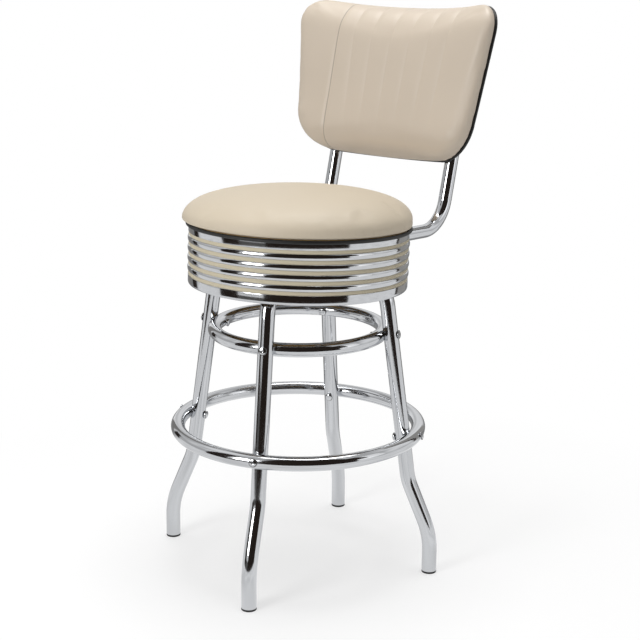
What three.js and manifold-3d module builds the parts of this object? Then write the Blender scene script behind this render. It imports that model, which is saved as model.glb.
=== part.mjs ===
// Diner counter stool. Four bent chrome legs are tied by a foot ring outside them and an upper
// ring inside them. A ball bearing swivel carries a round padded seat in a ribbed chrome skirt
// with cream insert strips, and two bent tubes carry a curved padded back. The seat and its back
// lean back a little on a wedge above the swivel.
// Lengths are in millimetres and angles in degrees. +Z is up and the sitter faces -Y.
import * as THREE from 'three';
import { mergeVertices } from 'three/addons/utils/BufferGeometryUtils.js';
import Module from 'manifold-3d';

const wasm = await Module();
wasm.setup();

// Fits
const SEAT_GAP = 0.3;
const HOLE_GAP = 0.6;
const LAYER_GAP = 0.8;
const CUT_OVERRUN = 8;

// Facets round each kind of piece
const ROUND_FACETS = 32;
const PLATE_FACETS = 20;
const TUBE_FACETS = 12;
const BORE_FACETS = 6;
const RING_FACETS = 8;
const SCREW_FACETS = 8;
const HEX_FACETS = 6;

// Legs: one bent tube each, splayed, turned out below the foot ring and upright at the floor
const LEG_COUNT = 4;
const LEG_TURN = 20;
const LEG_RADIUS = 12.7;
const LEG_WALL = 1.6;
const LEG_SPLAY = 8;
const FOOT_CIRCLE_RADIUS = 240;
const ANKLE_HEIGHT = 68;
const ANKLE_BEND_RADIUS = 140;
const KNEE_HEIGHT = 164;
const KNEE_CIRCLE_RADIUS = 198.6;
const KNEE_BEND_RADIUS = 100;
const SHOULDER_HEIGHT = 533.3;
const SHOULDER_BEND_RADIUS = 80;
const LEG_END_RADIUS = 30;

// Glides pressed into the feet
const GLIDE_THICKNESS = 3.6;
const GLIDE_CHAMFER = 1.2;
const GLIDE_PLUG_LENGTH = 14;

// Rings: each is pressed to a shallow saddle where it meets a leg
const FOOT_RING_HEIGHT = 242.7;
const FOOT_RING_TUBE_RADIUS = 12;
const FOOT_RING_SADDLE = 4.8;
const UPPER_RING_DROP = 120.3;
const UPPER_RING_TUBE_RADIUS = 11.6;
const UPPER_RING_SADDLE = 4.6;

// Dome headed bolts and cap nuts that tie the rings to the legs
const BOLT_RADIUS = 3;
const BOLT_HEAD_RADIUS = 6.8;
const BOLT_HEAD_RIM = 1.4;
const BOLT_HEAD_HEIGHT = 4.8;
const SOCKET_RADIUS = 2.4;
const SOCKET_DEPTH = 2.4;
const NUT_RADIUS = 5.6;
const NUT_COLLAR = 3.4;
const NUT_HEIGHT = 7;
const NUT_BORE_DEPTH = 4.6;
const BOLT_TIP_GAP = 0.8;

// Hub plate that the leg tops are bolted to
const HUB_RADIUS = 86;
const HUB_THICKNESS = 5;
const HUB_BORE_RADIUS = 10;
const HUB_BOLT_CIRCLE_RADIUS = 62;
const HUB_BOLT_RADIUS = 4;
const HUB_BOLT_HEAD_RADIUS = 7;
const HUB_BOLT_HEAD_HEIGHT = 5;

// Swivel: two round plates, a riveted pivot and a cage of balls between the plates
const SWIVEL_RADIUS = 80;
const SWIVEL_THICKNESS = 3;
const PIVOT_RADIUS = 9;
const PIVOT_HEAD_RADIUS = 13;
const PIVOT_HEAD_HEIGHT = 2.5;
const BALL_COUNT = 8;
const BALL_RADIUS = 4.5;
const BALL_CIRCLE_RADIUS = 42;
const CAGE_WIDTH = 13;
const CAGE_THICKNESS = 2.4;
const BALL_ROWS = 4;

// Seat screws, driven up through the swivel's top plate and the spacer into the seat board
const SEAT_SCREW_COUNT = 4;
const SEAT_SCREW_CIRCLE_RADIUS = 66;
const SEAT_SCREW_RADIUS = 2.6;
const SEAT_SCREW_HEAD_RADIUS = 5.6;
const SEAT_SCREW_HEAD_HEIGHT = 3.2;
const SEAT_SCREW_BITE = 7;

// Seat: a wedge that leans it back, plywood board, padded crown and welt. The wedge's thickness
// is taken at the swivel's axis
const SEAT_TILT = 2.2;
const SPACER_RADIUS = 84;
const SPACER_THICKNESS = 21.2;
const BOARD_RADIUS = 182.5;
const BOARD_THICKNESS = 12;
const WELT_CIRCLE_RADIUS = 187;
const WELT_RADIUS = 3.6;
const CUSHION_FOOT_RADIUS = 188.2;
const CUSHION_RADIUS = 192.4;
const CUSHION_SIDE_RISE = 10;
const CUSHION_CROWN = 50;
const CUSHION_ROWS = 9;
const CUSHION_ROUNDNESS = 2.25;

// Skirt: a chrome band with raised ribs and grooves that hold the insert strips
const RIB_COUNT = 4;
const RIB_CREST_RADIUS = 186.3;
const RIB_EDGE_RADIUS = 182.3;
const RIB_WIDTH = 11.1;
const RIB_POINTS = 4;
const GROOVE_RADIUS = 181;
const GROOVE_WIDTH = 5.5;
const TOP_BAND_WIDTH = 9.6;
const BASE_BAND_WIDTH = 16;
const BAND_RADIUS = 185.3;
const LIP_RADIUS = 182.4;
const LIP_RISE = 4.5;
const SKIRT_BORE_RADIUS = 179.3;
const STRIP_RADIUS = 183.8;

// Back tubes
const BACK_TUBE_RADIUS = 11.6;
const BACK_TUBE_WALL = 1.6;
const BACK_TUBE_SPACING = 253;
const BACK_TUBE_INNER_REACH = 70;
const BACK_CORNER_REACH = 237;
const BACK_BEND_RADIUS = 63;
const BACK_LEAN = 12;
const BACK_TUBE_HEIGHT = 348;
const CAP_THICKNESS = 3;
const CAP_PLUG_LENGTH = 12;
const TUBE_SCREW_REACH = 30;
const TUBE_SCREW_RADIUS = 3;
const TUBE_SCREW_HEAD_RADIUS = 6.5;
const TUBE_SCREW_HEAD_HEIGHT = 3.6;
const TUBE_SCREW_BITE = 9;

// Back panel, measured up the leaning tubes from the corner of their bend
const BACK_BOTTOM = 113;
const BACK_TOP = 384;
const BACK_BOTTOM_HALF_WIDTH = 179;
const BACK_TOP_HALF_WIDTH = 211;
const BACK_LOWER_CORNER_RADIUS = 72;
const BACK_UPPER_CORNER_RADIUS = 52;
const BACK_CURVE_RADIUS = 356;
const COVER_THICKNESS = 6;
const COVER_INSET = 8;
const BACK_BOARD_THICKNESS = 9;
const BACK_BOARD_INSET = 14;
const BACK_WELT_RADIUS = 3;
const BACK_WELT_INSET = 3.4;
const BACK_WELT_SPLIT = 1;
const BACK_CUSHION_RIM = 10;
const BACK_CUSHION_DEPTH = 11;
const BACK_CUSHION_CROWN = 46;
const CHANNEL_DEPTH = 2.6;
const BACK_BOLT_LOW = 180;
const BACK_BOLT_HIGH = 312;
const BACK_BOLT_BITE = 6;

// Shares of the panel's half width, from the middle out: channels lie at odd places up to the
// seam, with the crest of each flute between them
const FLUTE_SHARES = [0, 0.1, 0.2, 0.3, 0.4, 0.5, 0.6];
const SIDE_SHARES = [0.7, 0.82, 0.91, 0.965, 1];
const PLAIN_SHARES = [0, 0.2, 0.4, 0.6, 0.8, 1];
const MIDDLE_ROW_SHARES = [0.35, 0.7];
const CORNER_ROW_COUNT = 4;
const EDGE_ROLL_POWER = 20;
const EDGE_ROLL_ROOT = 2.4;
const CHANNEL_FADE_SHARES = [0.08, 0.3];

// Finishes
const FINISHES = {
  chrome: { color: 0xc9ccd0, roughness: 0.08, metalness: 1 },
  zinc: { color: 0x9a9da0, roughness: 0.35, metalness: 0.9 },
  cream: { color: 0xc9bba8, roughness: 0.5, metalness: 0 },
  strip: { color: 0xc4b9a2, roughness: 0.45, metalness: 0 },
  welt: { color: 0x1b1a18, roughness: 0.5, metalness: 0 },
  plastic: { color: 0x161616, roughness: 0.6, metalness: 0 },
  plywood: { color: 0xb08d5c, roughness: 0.8, metalness: 0 },
};

const radians = THREE.MathUtils.degToRad;

// Heights of the stack that the legs carry, from the leg tops up
const HUB_BOTTOM = SHOULDER_HEIGHT + LEG_RADIUS + SEAT_GAP;
const SWIVEL_BOTTOM = HUB_BOTTOM + HUB_THICKNESS + SEAT_GAP;
const BALL_HEIGHT = SWIVEL_BOTTOM + SWIVEL_THICKNESS + SEAT_GAP + BALL_RADIUS;
const TOP_PLATE_BOTTOM = BALL_HEIGHT + BALL_RADIUS + SEAT_GAP;
const TOP_PLATE_TOP = TOP_PLATE_BOTTOM + SWIVEL_THICKNESS;
const SPACER_BOTTOM = TOP_PLATE_TOP + SEAT_GAP;
const BOARD_BOTTOM = SPACER_BOTTOM + SPACER_THICKNESS + SEAT_GAP;
const BOARD_TOP = BOARD_BOTTOM + BOARD_THICKNESS;
const BACK_TUBE_LEVEL = BOARD_BOTTOM - SEAT_GAP - BACK_TUBE_RADIUS;
const SKIRT_TOP = BOARD_BOTTOM - SEAT_GAP;
const RIBBED_HEIGHT = RIB_COUNT * RIB_WIDTH + (RIB_COUNT + 1) * GROOVE_WIDTH;
const SKIRT_BOTTOM = SKIRT_TOP - TOP_BAND_WIDTH - RIBBED_HEIGHT - BASE_BAND_WIDTH;
const WELT_HEIGHT = SKIRT_TOP + SEAT_GAP + WELT_RADIUS;
const CUSHION_BOTTOM = WELT_HEIGHT + WELT_RADIUS + SEAT_GAP;

const UPPER_RING_HEIGHT = SHOULDER_HEIGHT - UPPER_RING_DROP;

// Distances from a ring's tube to the leg that it is bolted to, square to the leg
const FOOT_RING_OFFSET = LEG_RADIUS + FOOT_RING_TUBE_RADIUS + SEAT_GAP - FOOT_RING_SADDLE;
const UPPER_RING_OFFSET = LEG_RADIUS + UPPER_RING_TUBE_RADIUS + SEAT_GAP - UPPER_RING_SADDLE;
const NUT_LIFT = NUT_RADIUS * Math.tan(Math.PI / ROUND_FACETS);

// ---- section: solids ----

// A path of straight runs and round bends, with one station at each end of every run
class StationPath extends THREE.Curve {
  constructor(stations) {
    super();
    this.stations = stations;
  }

  station(share) {
    return this.stations[Math.round(share * (this.stations.length - 1))];
  }

  getPoint(share, target = new THREE.Vector3()) {
    return target.copy(this.station(share).point);
  }

  getPointAt(share, target) {
    return this.getPoint(share, target);
  }

  getTangentAt(share, target = new THREE.Vector3()) {
    return target.copy(this.station(share).tangent);
  }
}

function heading(from, to) {
  return new THREE.Vector3().subVectors(to, from).normalize();
}

function bendStations(before, corner, after) {
  const arriving = heading(before, corner.point);
  const leaving = heading(corner.point, after);
  const turn = arriving.angleTo(leaving);
  const axis = new THREE.Vector3().crossVectors(arriving, leaving).normalize();
  const inward = new THREE.Vector3().crossVectors(axis, arriving);
  const start = corner.point.clone().addScaledVector(arriving, -corner.radius * Math.tan(turn / 2));
  const centre = start.clone().addScaledVector(inward, corner.radius);
  return Array.from({ length: corner.steps + 1 }, (_, step) => {
    const angle = (turn * step) / corner.steps;
    const point = start.clone().sub(centre).applyAxisAngle(axis, angle).add(centre);
    return { point, tangent: arriving.clone().applyAxisAngle(axis, angle) };
  });
}

function bentPath(start, corners, end) {
  const points = [start, ...corners.map((corner) => corner.point), end];
  const stations = [{ point: start, tangent: heading(start, points[1]) }];
  corners.forEach((corner, index) => {
    stations.push(...bendStations(points[index], corner, points[index + 2]));
  });
  stations.push({ point: end, tangent: heading(points[points.length - 2], end) });
  return new StationPath(stations);
}

function pathThrough(points) {
  const last = points.length - 1;
  const stations = points.map((point, index) => {
    const before = points[Math.max(index - 1, 0)];
    const after = points[Math.min(index + 1, last)];
    return { point, tangent: heading(before, after) };
  });
  return new StationPath(stations);
}

function polygon(radius, facets) {
  return Array.from({ length: facets }, (_, index) => {
    const angle = (2 * Math.PI * index) / facets;
    return new THREE.Vector2(radius * Math.cos(angle), radius * Math.sin(angle));
  });
}

function tube(path, radius, boreRadius = 0, facets = TUBE_FACETS) {
  const section = new THREE.Shape(polygon(radius, facets));
  if (boreRadius > 0) {
    section.holes.push(new THREE.Path(polygon(boreRadius, BORE_FACETS)));
  }
  const steps = path.stations.length - 1;
  return new THREE.ExtrudeGeometry(section, { steps, extrudePath: path, bevelEnabled: false });
}

// Turns a profile of [radius, height] points about the Z axis
function revolve(profile, facets = ROUND_FACETS) {
  const points = profile.map(([radius, height]) => new THREE.Vector2(radius, height));
  return new THREE.LatheGeometry(points, facets).rotateX(Math.PI / 2);
}

function washer(boreRadius, radius, bottom, top, facets = ROUND_FACETS) {
  const corners = [[boreRadius, bottom], [radius, bottom], [radius, top], [boreRadius, top]];
  return revolve([...corners, corners[0]], facets);
}

function disc(radius, bottom, top, facets = ROUND_FACETS) {
  return revolve([[0, bottom], [radius, bottom], [radius, top], [0, top]], facets);
}

function turned(geometry) {
  const index = geometry.index.array;
  for (let first = 0; first < index.length; first += 3) {
    [index[first + 1], index[first + 2]] = [index[first + 2], index[first + 1]];
  }
  return geometry;
}

function signedVolume(geometry) {
  const corners = [new THREE.Vector3(), new THREE.Vector3(), new THREE.Vector3()];
  const index = geometry.index.array;
  let total = 0;
  for (let first = 0; first < index.length; first += 3) {
    corners.forEach((corner, k) => {
      corner.fromBufferAttribute(geometry.attributes.position, index[first + k]);
    });
    total += corners[0].dot(corners[1].cross(corners[2])) / 6;
  }
  return total;
}

// Keeps positions only, joins shared corners, drops flat triangles and faces them outwards
function closed(geometry) {
  const bare = geometry.clone();
  Object.keys(bare.attributes)
    .filter((name) => name !== 'position')
    .forEach((name) => bare.deleteAttribute(name));
  const merged = mergeVertices(bare);
  const index = merged.index.array;
  const kept = [];
  for (let first = 0; first < index.length; first += 3) {
    const [a, b, c] = index.subarray(first, first + 3);
    if (a !== b && b !== c && c !== a) {
      kept.push(a, b, c);
    }
  }
  merged.setIndex(kept);
  return signedVolume(merged) < 0 ? turned(merged) : merged;
}

function toManifold(geometry) {
  const clean = closed(geometry);
  const vertProperties = new Float32Array(clean.attributes.position.array);
  const triVerts = new Uint32Array(clean.index.array);
  return new wasm.Manifold(new wasm.Mesh({ numProp: 3, vertProperties, triVerts }));
}

function toGeometry(manifold) {
  const mesh = manifold.getMesh();
  const geometry = new THREE.BufferGeometry();
  geometry.setAttribute('position', new THREE.BufferAttribute(mesh.vertProperties, 3));
  geometry.setIndex(Array.from(mesh.triVerts));
  return geometry;
}

function cut(geometry, ...tools) {
  const start = toManifold(geometry);
  return toGeometry(tools.reduce((solid, tool) => solid.subtract(toManifold(tool)), start));
}

function joined(geometry, ...additions) {
  const start = toManifold(geometry);
  return toGeometry(additions.reduce((solid, part) => solid.add(toManifold(part)), start));
}

function common(geometry, tool) {
  return toGeometry(toManifold(geometry).intersect(toManifold(tool)));
}

function piece(name, geometry, finish) {
  const shaped = closed(geometry).toNonIndexed();
  shaped.computeVertexNormals();
  const mesh = new THREE.Mesh(shaped, new THREE.MeshStandardMaterial(FINISHES[finish]));
  mesh.name = name;
  return mesh;
}

// ---- section: base ----

const LEG_NAMES = ['right', 'rear', 'left', 'front'];

function legAngle(index) {
  return radians(LEG_TURN) + (2 * Math.PI * index) / LEG_COUNT;
}

function splayRadiusAt(height) {
  return KNEE_CIRCLE_RADIUS - (height - KNEE_HEIGHT) * Math.tan(radians(LEG_SPLAY));
}

const SPLAY_SQUARE = Math.cos(radians(LEG_SPLAY));
const FOOT_RING_RADIUS = splayRadiusAt(FOOT_RING_HEIGHT) + FOOT_RING_OFFSET / SPLAY_SQUARE;
const UPPER_RING_RADIUS = splayRadiusAt(UPPER_RING_HEIGHT) - UPPER_RING_OFFSET / SPLAY_SQUARE;
const LEG_BORE_RADIUS = LEG_RADIUS - LEG_WALL;

// A leg lies in its own XZ plane, with X pointing outwards from the stool's axis
function legPath() {
  const inPlane = (radius, height) => new THREE.Vector3(radius, 0, height);
  const corners = [
    { point: inPlane(FOOT_CIRCLE_RADIUS, ANKLE_HEIGHT), radius: ANKLE_BEND_RADIUS, steps: 3 },
    { point: inPlane(KNEE_CIRCLE_RADIUS, KNEE_HEIGHT), radius: KNEE_BEND_RADIUS, steps: 2 },
    {
      point: inPlane(splayRadiusAt(SHOULDER_HEIGHT), SHOULDER_HEIGHT),
      radius: SHOULDER_BEND_RADIUS,
      steps: 5,
    },
  ];
  const foot = inPlane(FOOT_CIRCLE_RADIUS, GLIDE_THICKNESS + SEAT_GAP);
  return bentPath(foot, corners, inPlane(LEG_END_RADIUS, SHOULDER_HEIGHT));
}

// Moves a piece made about the Z axis onto a ring bolt's axis, which is square to the leg
function alongRingBolt(geometry, ringRadius, ringHeight, reach) {
  const angle = radians(LEG_SPLAY);
  return geometry
    .rotateY(Math.PI / 2)
    .translate(reach, 0, 0)
    .rotateY(-angle)
    .translate(ringRadius, 0, ringHeight);
}

function ringBoltHole(ringRadius, ringHeight) {
  const reach = 2 * LEG_RADIUS + 2 * FOOT_RING_TUBE_RADIUS + CUT_OVERRUN;
  const hole = disc(BOLT_RADIUS + HOLE_GAP, -reach, reach, SCREW_FACETS);
  return alongRingBolt(hole, ringRadius, ringHeight, 0);
}

function hubBoltHole(bottom, top) {
  const hole = disc(HUB_BOLT_RADIUS + HOLE_GAP, bottom, top, SCREW_FACETS);
  return hole.translate(HUB_BOLT_CIRCLE_RADIUS, 0, 0);
}

function leg() {
  const runBottom = SHOULDER_HEIGHT - LEG_RADIUS - CUT_OVERRUN;
  return cut(
    tube(legPath(), LEG_RADIUS, LEG_BORE_RADIUS),
    ringBoltHole(FOOT_RING_RADIUS, FOOT_RING_HEIGHT),
    ringBoltHole(UPPER_RING_RADIUS, UPPER_RING_HEIGHT),
    hubBoltHole(runBottom, HUB_BOTTOM + CUT_OVERRUN),
  );
}

function plugRadius(boreRadius) {
  return boreRadius * Math.cos(Math.PI / BORE_FACETS) - SEAT_GAP;
}

function glide() {
  const plug = plugRadius(LEG_BORE_RADIUS);
  const profile = [
    [0, 0],
    [LEG_RADIUS - GLIDE_CHAMFER, 0],
    [LEG_RADIUS, GLIDE_CHAMFER],
    [LEG_RADIUS, GLIDE_THICKNESS],
    [plug, GLIDE_THICKNESS],
    [plug, GLIDE_THICKNESS + GLIDE_PLUG_LENGTH],
    [0, GLIDE_THICKNESS + GLIDE_PLUG_LENGTH],
  ];
  return revolve(profile, TUBE_FACETS).translate(FOOT_CIRCLE_RADIUS, 0, 0);
}

// A ring with a saddle and a bolt hole at each leg
function ring(ringRadius, ringHeight, tubeRadius) {
  const torus = new THREE.TorusGeometry(ringRadius, tubeRadius, RING_FACETS, ROUND_FACETS);
  torus.translate(0, 0, ringHeight);
  const tools = LEG_NAMES.flatMap((_, index) => {
    const saddle = tube(legPath(), LEG_RADIUS + SEAT_GAP);
    const hole = ringBoltHole(ringRadius, ringHeight);
    return [saddle, hole].map((tool) => tool.rotateZ((2 * Math.PI * index) / LEG_COUNT));
  });
  return cut(torus, ...tools);
}

// A bolt about the Z axis, its head's seat at zero and its shank below
function domeBolt(length) {
  const shoulder = BOLT_HEAD_RIM + (BOLT_HEAD_HEIGHT - BOLT_HEAD_RIM) * Math.sin(radians(45));
  const profile = [
    [0, -length],
    [BOLT_RADIUS, -length],
    [BOLT_RADIUS, 0],
    [BOLT_HEAD_RADIUS, 0],
    [BOLT_HEAD_RADIUS, BOLT_HEAD_RIM],
    [BOLT_HEAD_RADIUS * Math.cos(radians(45)), shoulder],
    [SOCKET_RADIUS + HOLE_GAP, BOLT_HEAD_HEIGHT],
    [0, BOLT_HEAD_HEIGHT],
  ];
  const socketBottom = BOLT_HEAD_HEIGHT - SOCKET_DEPTH;
  const socket = disc(SOCKET_RADIUS, socketBottom, BOLT_HEAD_HEIGHT + CUT_OVERRUN, HEX_FACETS);
  return cut(revolve(profile, RING_FACETS), socket);
}

// A cap nut about the Z axis, its seat at zero and its dome above
function capNut() {
  const middle = (NUT_COLLAR + NUT_HEIGHT) / 2;
  const profile = [
    [0, NUT_BORE_DEPTH],
    [BOLT_RADIUS + SEAT_GAP + SEAT_GAP, NUT_BORE_DEPTH],
    [BOLT_RADIUS + SEAT_GAP + SEAT_GAP, 0],
    [NUT_RADIUS, 0],
    [NUT_RADIUS, NUT_COLLAR],
    [NUT_RADIUS * Math.cos(radians(35)), middle],
    [0, NUT_HEIGHT],
  ];
  return revolve(profile, SCREW_FACETS);
}

function ringBoltReaches() {
  const footNut = FOOT_RING_OFFSET + LEG_RADIUS + SEAT_GAP;
  const upperHead = UPPER_RING_OFFSET + LEG_RADIUS + SEAT_GAP;
  return {
    foot: { head: FOOT_RING_TUBE_RADIUS + SEAT_GAP, nut: footNut },
    upper: { head: upperHead, nut: UPPER_RING_TUBE_RADIUS + SEAT_GAP + NUT_LIFT },
  };
}

function ringFasteners(label, legName, ringRadius, ringHeight) {
  const reach = ringBoltReaches()[label];
  const length = reach.head + reach.nut + NUT_BORE_DEPTH - BOLT_TIP_GAP;
  const bolt = alongRingBolt(domeBolt(length), ringRadius, ringHeight, reach.head);
  const nut = alongRingBolt(capNut().rotateX(Math.PI), ringRadius, ringHeight, -reach.nut);
  return [
    piece(`${label}_ring_bolt_${legName}`, bolt, 'chrome'),
    piece(`${label}_ring_nut_${legName}`, nut, 'chrome'),
  ];
}

// Driven up from under the leg, through the hub plate into the swivel's base plate
function hubBolt() {
  const seat = SHOULDER_HEIGHT - LEG_RADIUS - SEAT_GAP;
  const tip = SWIVEL_BOTTOM + SWIVEL_THICKNESS - SEAT_GAP;
  const profile = [
    [0, seat - HUB_BOLT_HEAD_HEIGHT],
    [HUB_BOLT_HEAD_RADIUS, seat - HUB_BOLT_HEAD_HEIGHT],
    [HUB_BOLT_HEAD_RADIUS, seat],
    [HUB_BOLT_RADIUS, seat],
    [HUB_BOLT_RADIUS, tip],
    [0, tip],
  ];
  return revolve(profile, HEX_FACETS).translate(HUB_BOLT_CIRCLE_RADIUS, 0, 0);
}

function legGroup(legName, index) {
  const group = new THREE.Group();
  group.rotation.z = legAngle(index);
  group.add(
    piece(`leg_${legName}`, leg(), 'chrome'),
    piece(`glide_${legName}`, glide(), 'plastic'),
    piece(`hub_bolt_${legName}`, hubBolt(), 'zinc'),
    ...ringFasteners('foot', legName, FOOT_RING_RADIUS, FOOT_RING_HEIGHT),
    ...ringFasteners('upper', legName, UPPER_RING_RADIUS, UPPER_RING_HEIGHT),
  );
  return group;
}

function hubBoltHoles() {
  return LEG_NAMES.map((_, index) => {
    const hole = hubBoltHole(HUB_BOTTOM - CUT_OVERRUN, TOP_PLATE_BOTTOM);
    return hole.rotateZ((2 * Math.PI * index) / LEG_COUNT);
  });
}

function hubPlate() {
  const top = HUB_BOTTOM + HUB_THICKNESS;
  const plate = washer(HUB_BORE_RADIUS, HUB_RADIUS, HUB_BOTTOM, top, PLATE_FACETS);
  return cut(plate, ...hubBoltHoles());
}

// The pivot is one with the base plate, and its head is spun over the top plate's bore
function swivelBasePlate() {
  const top = SWIVEL_BOTTOM + SWIVEL_THICKNESS;
  const headBottom = TOP_PLATE_TOP + SEAT_GAP;
  const profile = [
    [0, SWIVEL_BOTTOM],
    [SWIVEL_RADIUS, SWIVEL_BOTTOM],
    [SWIVEL_RADIUS, top],
    [PIVOT_RADIUS, top],
    [PIVOT_RADIUS, headBottom],
    [PIVOT_HEAD_RADIUS, headBottom],
    [PIVOT_HEAD_RADIUS, headBottom + PIVOT_HEAD_HEIGHT],
    [0, headBottom + PIVOT_HEAD_HEIGHT],
  ];
  return cut(revolve(profile, PLATE_FACETS), ...hubBoltHoles());
}

function ballCage() {
  const inner = BALL_CIRCLE_RADIUS - CAGE_WIDTH / 2;
  const outer = BALL_CIRCLE_RADIUS + CAGE_WIDTH / 2;
  const bottom = BALL_HEIGHT - CAGE_THICKNESS / 2;
  const cage = washer(inner, outer, bottom, bottom + CAGE_THICKNESS, PLATE_FACETS);
  const balls = Array.from({ length: BALL_COUNT }, (_, index) => {
    const ball = new THREE.SphereGeometry(BALL_RADIUS, SCREW_FACETS, BALL_ROWS);
    ball.rotateX(Math.PI / 2).translate(BALL_CIRCLE_RADIUS, 0, BALL_HEIGHT);
    return ball.rotateZ((2 * Math.PI * index) / BALL_COUNT);
  });
  return joined(cage, ...balls);
}

function baseGroup() {
  const group = new THREE.Group();
  LEG_NAMES.forEach((legName, index) => group.add(legGroup(legName, index)));
  const turnedToLegs = new THREE.Group();
  turnedToLegs.rotation.z = legAngle(0);
  const footRing = ring(FOOT_RING_RADIUS, FOOT_RING_HEIGHT, FOOT_RING_TUBE_RADIUS);
  const upperRing = ring(UPPER_RING_RADIUS, UPPER_RING_HEIGHT, UPPER_RING_TUBE_RADIUS);
  turnedToLegs.add(
    piece('foot_ring', footRing, 'chrome'),
    piece('upper_ring', upperRing, 'chrome'),
    piece('hub_plate', hubPlate(), 'zinc'),
    piece('swivel_base_plate', swivelBasePlate(), 'zinc'),
  );
  group.add(turnedToLegs, piece('ball_cage', ballCage(), 'zinc'));
  return group;
}

// ---- section: seat ----

function seatScrewPlaces(geometryMaker) {
  return Array.from({ length: SEAT_SCREW_COUNT }, (_, index) => {
    const angle = (2 * Math.PI * (index + 0.5)) / SEAT_SCREW_COUNT;
    return geometryMaker().translate(SEAT_SCREW_CIRCLE_RADIUS, 0, 0).rotateZ(angle);
  });
}

function seatScrew() {
  const tip = BOARD_BOTTOM + SEAT_SCREW_BITE;
  const profile = [
    [0, TOP_PLATE_BOTTOM - SEAT_SCREW_HEAD_HEIGHT],
    [SEAT_SCREW_HEAD_RADIUS, TOP_PLATE_BOTTOM - SEAT_SCREW_HEAD_HEIGHT],
    [SEAT_SCREW_HEAD_RADIUS, TOP_PLATE_BOTTOM],
    [SEAT_SCREW_RADIUS, TOP_PLATE_BOTTOM],
    [SEAT_SCREW_RADIUS, tip],
    [0, tip],
  ];
  return revolve(profile, SCREW_FACETS);
}

// The seat and back lean back about the board's underside at the swivel's axis
function seatTilt() {
  const toAxis = new THREE.Matrix4().makeTranslation(0, 0, BOARD_BOTTOM);
  const lean = new THREE.Matrix4().makeRotationX(-radians(SEAT_TILT));
  const fromAxis = new THREE.Matrix4().makeTranslation(0, 0, -BOARD_BOTTOM);
  return toAxis.multiply(lean).multiply(fromAxis);
}

function tiltedGroup() {
  const group = new THREE.Group();
  group.applyMatrix4(seatTilt());
  return group;
}

function tilted(geometry) {
  return geometry.applyMatrix4(seatTilt());
}

function levelled(geometry) {
  return geometry.applyMatrix4(seatTilt().invert());
}

function seatScrewHoles(bottom, top) {
  return seatScrewPlaces(() => disc(SEAT_SCREW_RADIUS + HOLE_GAP, bottom, top, SCREW_FACETS));
}

// The swivel's top plate with its four seat screws set in it
function swivelTopPlate() {
  const bore = (PIVOT_RADIUS + HOLE_GAP) / Math.cos(Math.PI / PLATE_FACETS);
  const plate = washer(bore, SWIVEL_RADIUS, TOP_PLATE_BOTTOM, TOP_PLATE_TOP, PLATE_FACETS);
  return joined(plate, ...seatScrewPlaces(seatScrew));
}

// A round plywood wedge, level below and sloped above to carry the leaning board
function seatSpacer() {
  const bore = PIVOT_HEAD_RADIUS + HOLE_GAP + HOLE_GAP;
  const top = BOARD_BOTTOM + SPACER_THICKNESS;
  const block = washer(bore, SPACER_RADIUS, SPACER_BOTTOM, top, PLATE_FACETS);
  const above = tilted(disc(BOARD_RADIUS, BOARD_BOTTOM - SEAT_GAP, top + SPACER_THICKNESS));
  return cut(block, above, ...seatScrewHoles(SPACER_BOTTOM - CUT_OVERRUN, top + CUT_OVERRUN));
}

function sideSigns(maker) {
  return [-1, 1].map(maker);
}

function tubeScrewHole(side, bottom, top) {
  const hole = disc(TUBE_SCREW_RADIUS + HOLE_GAP, bottom, top, SCREW_FACETS);
  return hole.translate((side * BACK_TUBE_SPACING) / 2, -TUBE_SCREW_REACH, 0);
}

function seatBoard() {
  const start = BOARD_BOTTOM - CUT_OVERRUN;
  const screwEnd = BOARD_BOTTOM + SEAT_SCREW_BITE + HOLE_GAP;
  const tubeScrewEnd = BOARD_BOTTOM + TUBE_SCREW_BITE + HOLE_GAP;
  return cut(
    disc(BOARD_RADIUS, BOARD_BOTTOM, BOARD_TOP),
    ...seatScrewHoles(start, screwEnd).map(levelled),
    ...sideSigns((side) => tubeScrewHole(side, start, tubeScrewEnd)),
  );
}

// The padded crown, with a recess below that wraps the board down to the welt
function seatCushion() {
  const recess = (BOARD_RADIUS + SEAT_GAP) / Math.cos(Math.PI / ROUND_FACETS);
  const widest = CUSHION_BOTTOM + CUSHION_SIDE_RISE;
  const drawnIn = (CUSHION_FOOT_RADIUS + CUSHION_RADIUS * 2) / 3;
  const crown = Array.from({ length: CUSHION_ROWS }, (_, row) => {
    const angle = (Math.PI / 2) * (row / CUSHION_ROWS);
    const radius = CUSHION_RADIUS * Math.cos(angle) ** (2 / CUSHION_ROUNDNESS);
    return [radius, widest + CUSHION_CROWN * Math.sin(angle) ** (2 / CUSHION_ROUNDNESS)];
  });
  return revolve([
    [0, BOARD_TOP + SEAT_GAP],
    [recess, BOARD_TOP + SEAT_GAP],
    [recess, CUSHION_BOTTOM],
    [CUSHION_FOOT_RADIUS, CUSHION_BOTTOM],
    [drawnIn, CUSHION_BOTTOM + CUSHION_SIDE_RISE / 3],
    ...crown,
    [0, widest + CUSHION_CROWN],
  ]);
}

function seatWelt() {
  const torus = new THREE.TorusGeometry(WELT_CIRCLE_RADIUS, WELT_RADIUS, HEX_FACETS, ROUND_FACETS);
  return torus.translate(0, 0, WELT_HEIGHT);
}

function grooveBottom(index) {
  return SKIRT_BOTTOM + BASE_BAND_WIDTH + index * (GROOVE_WIDTH + RIB_WIDTH);
}

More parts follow.
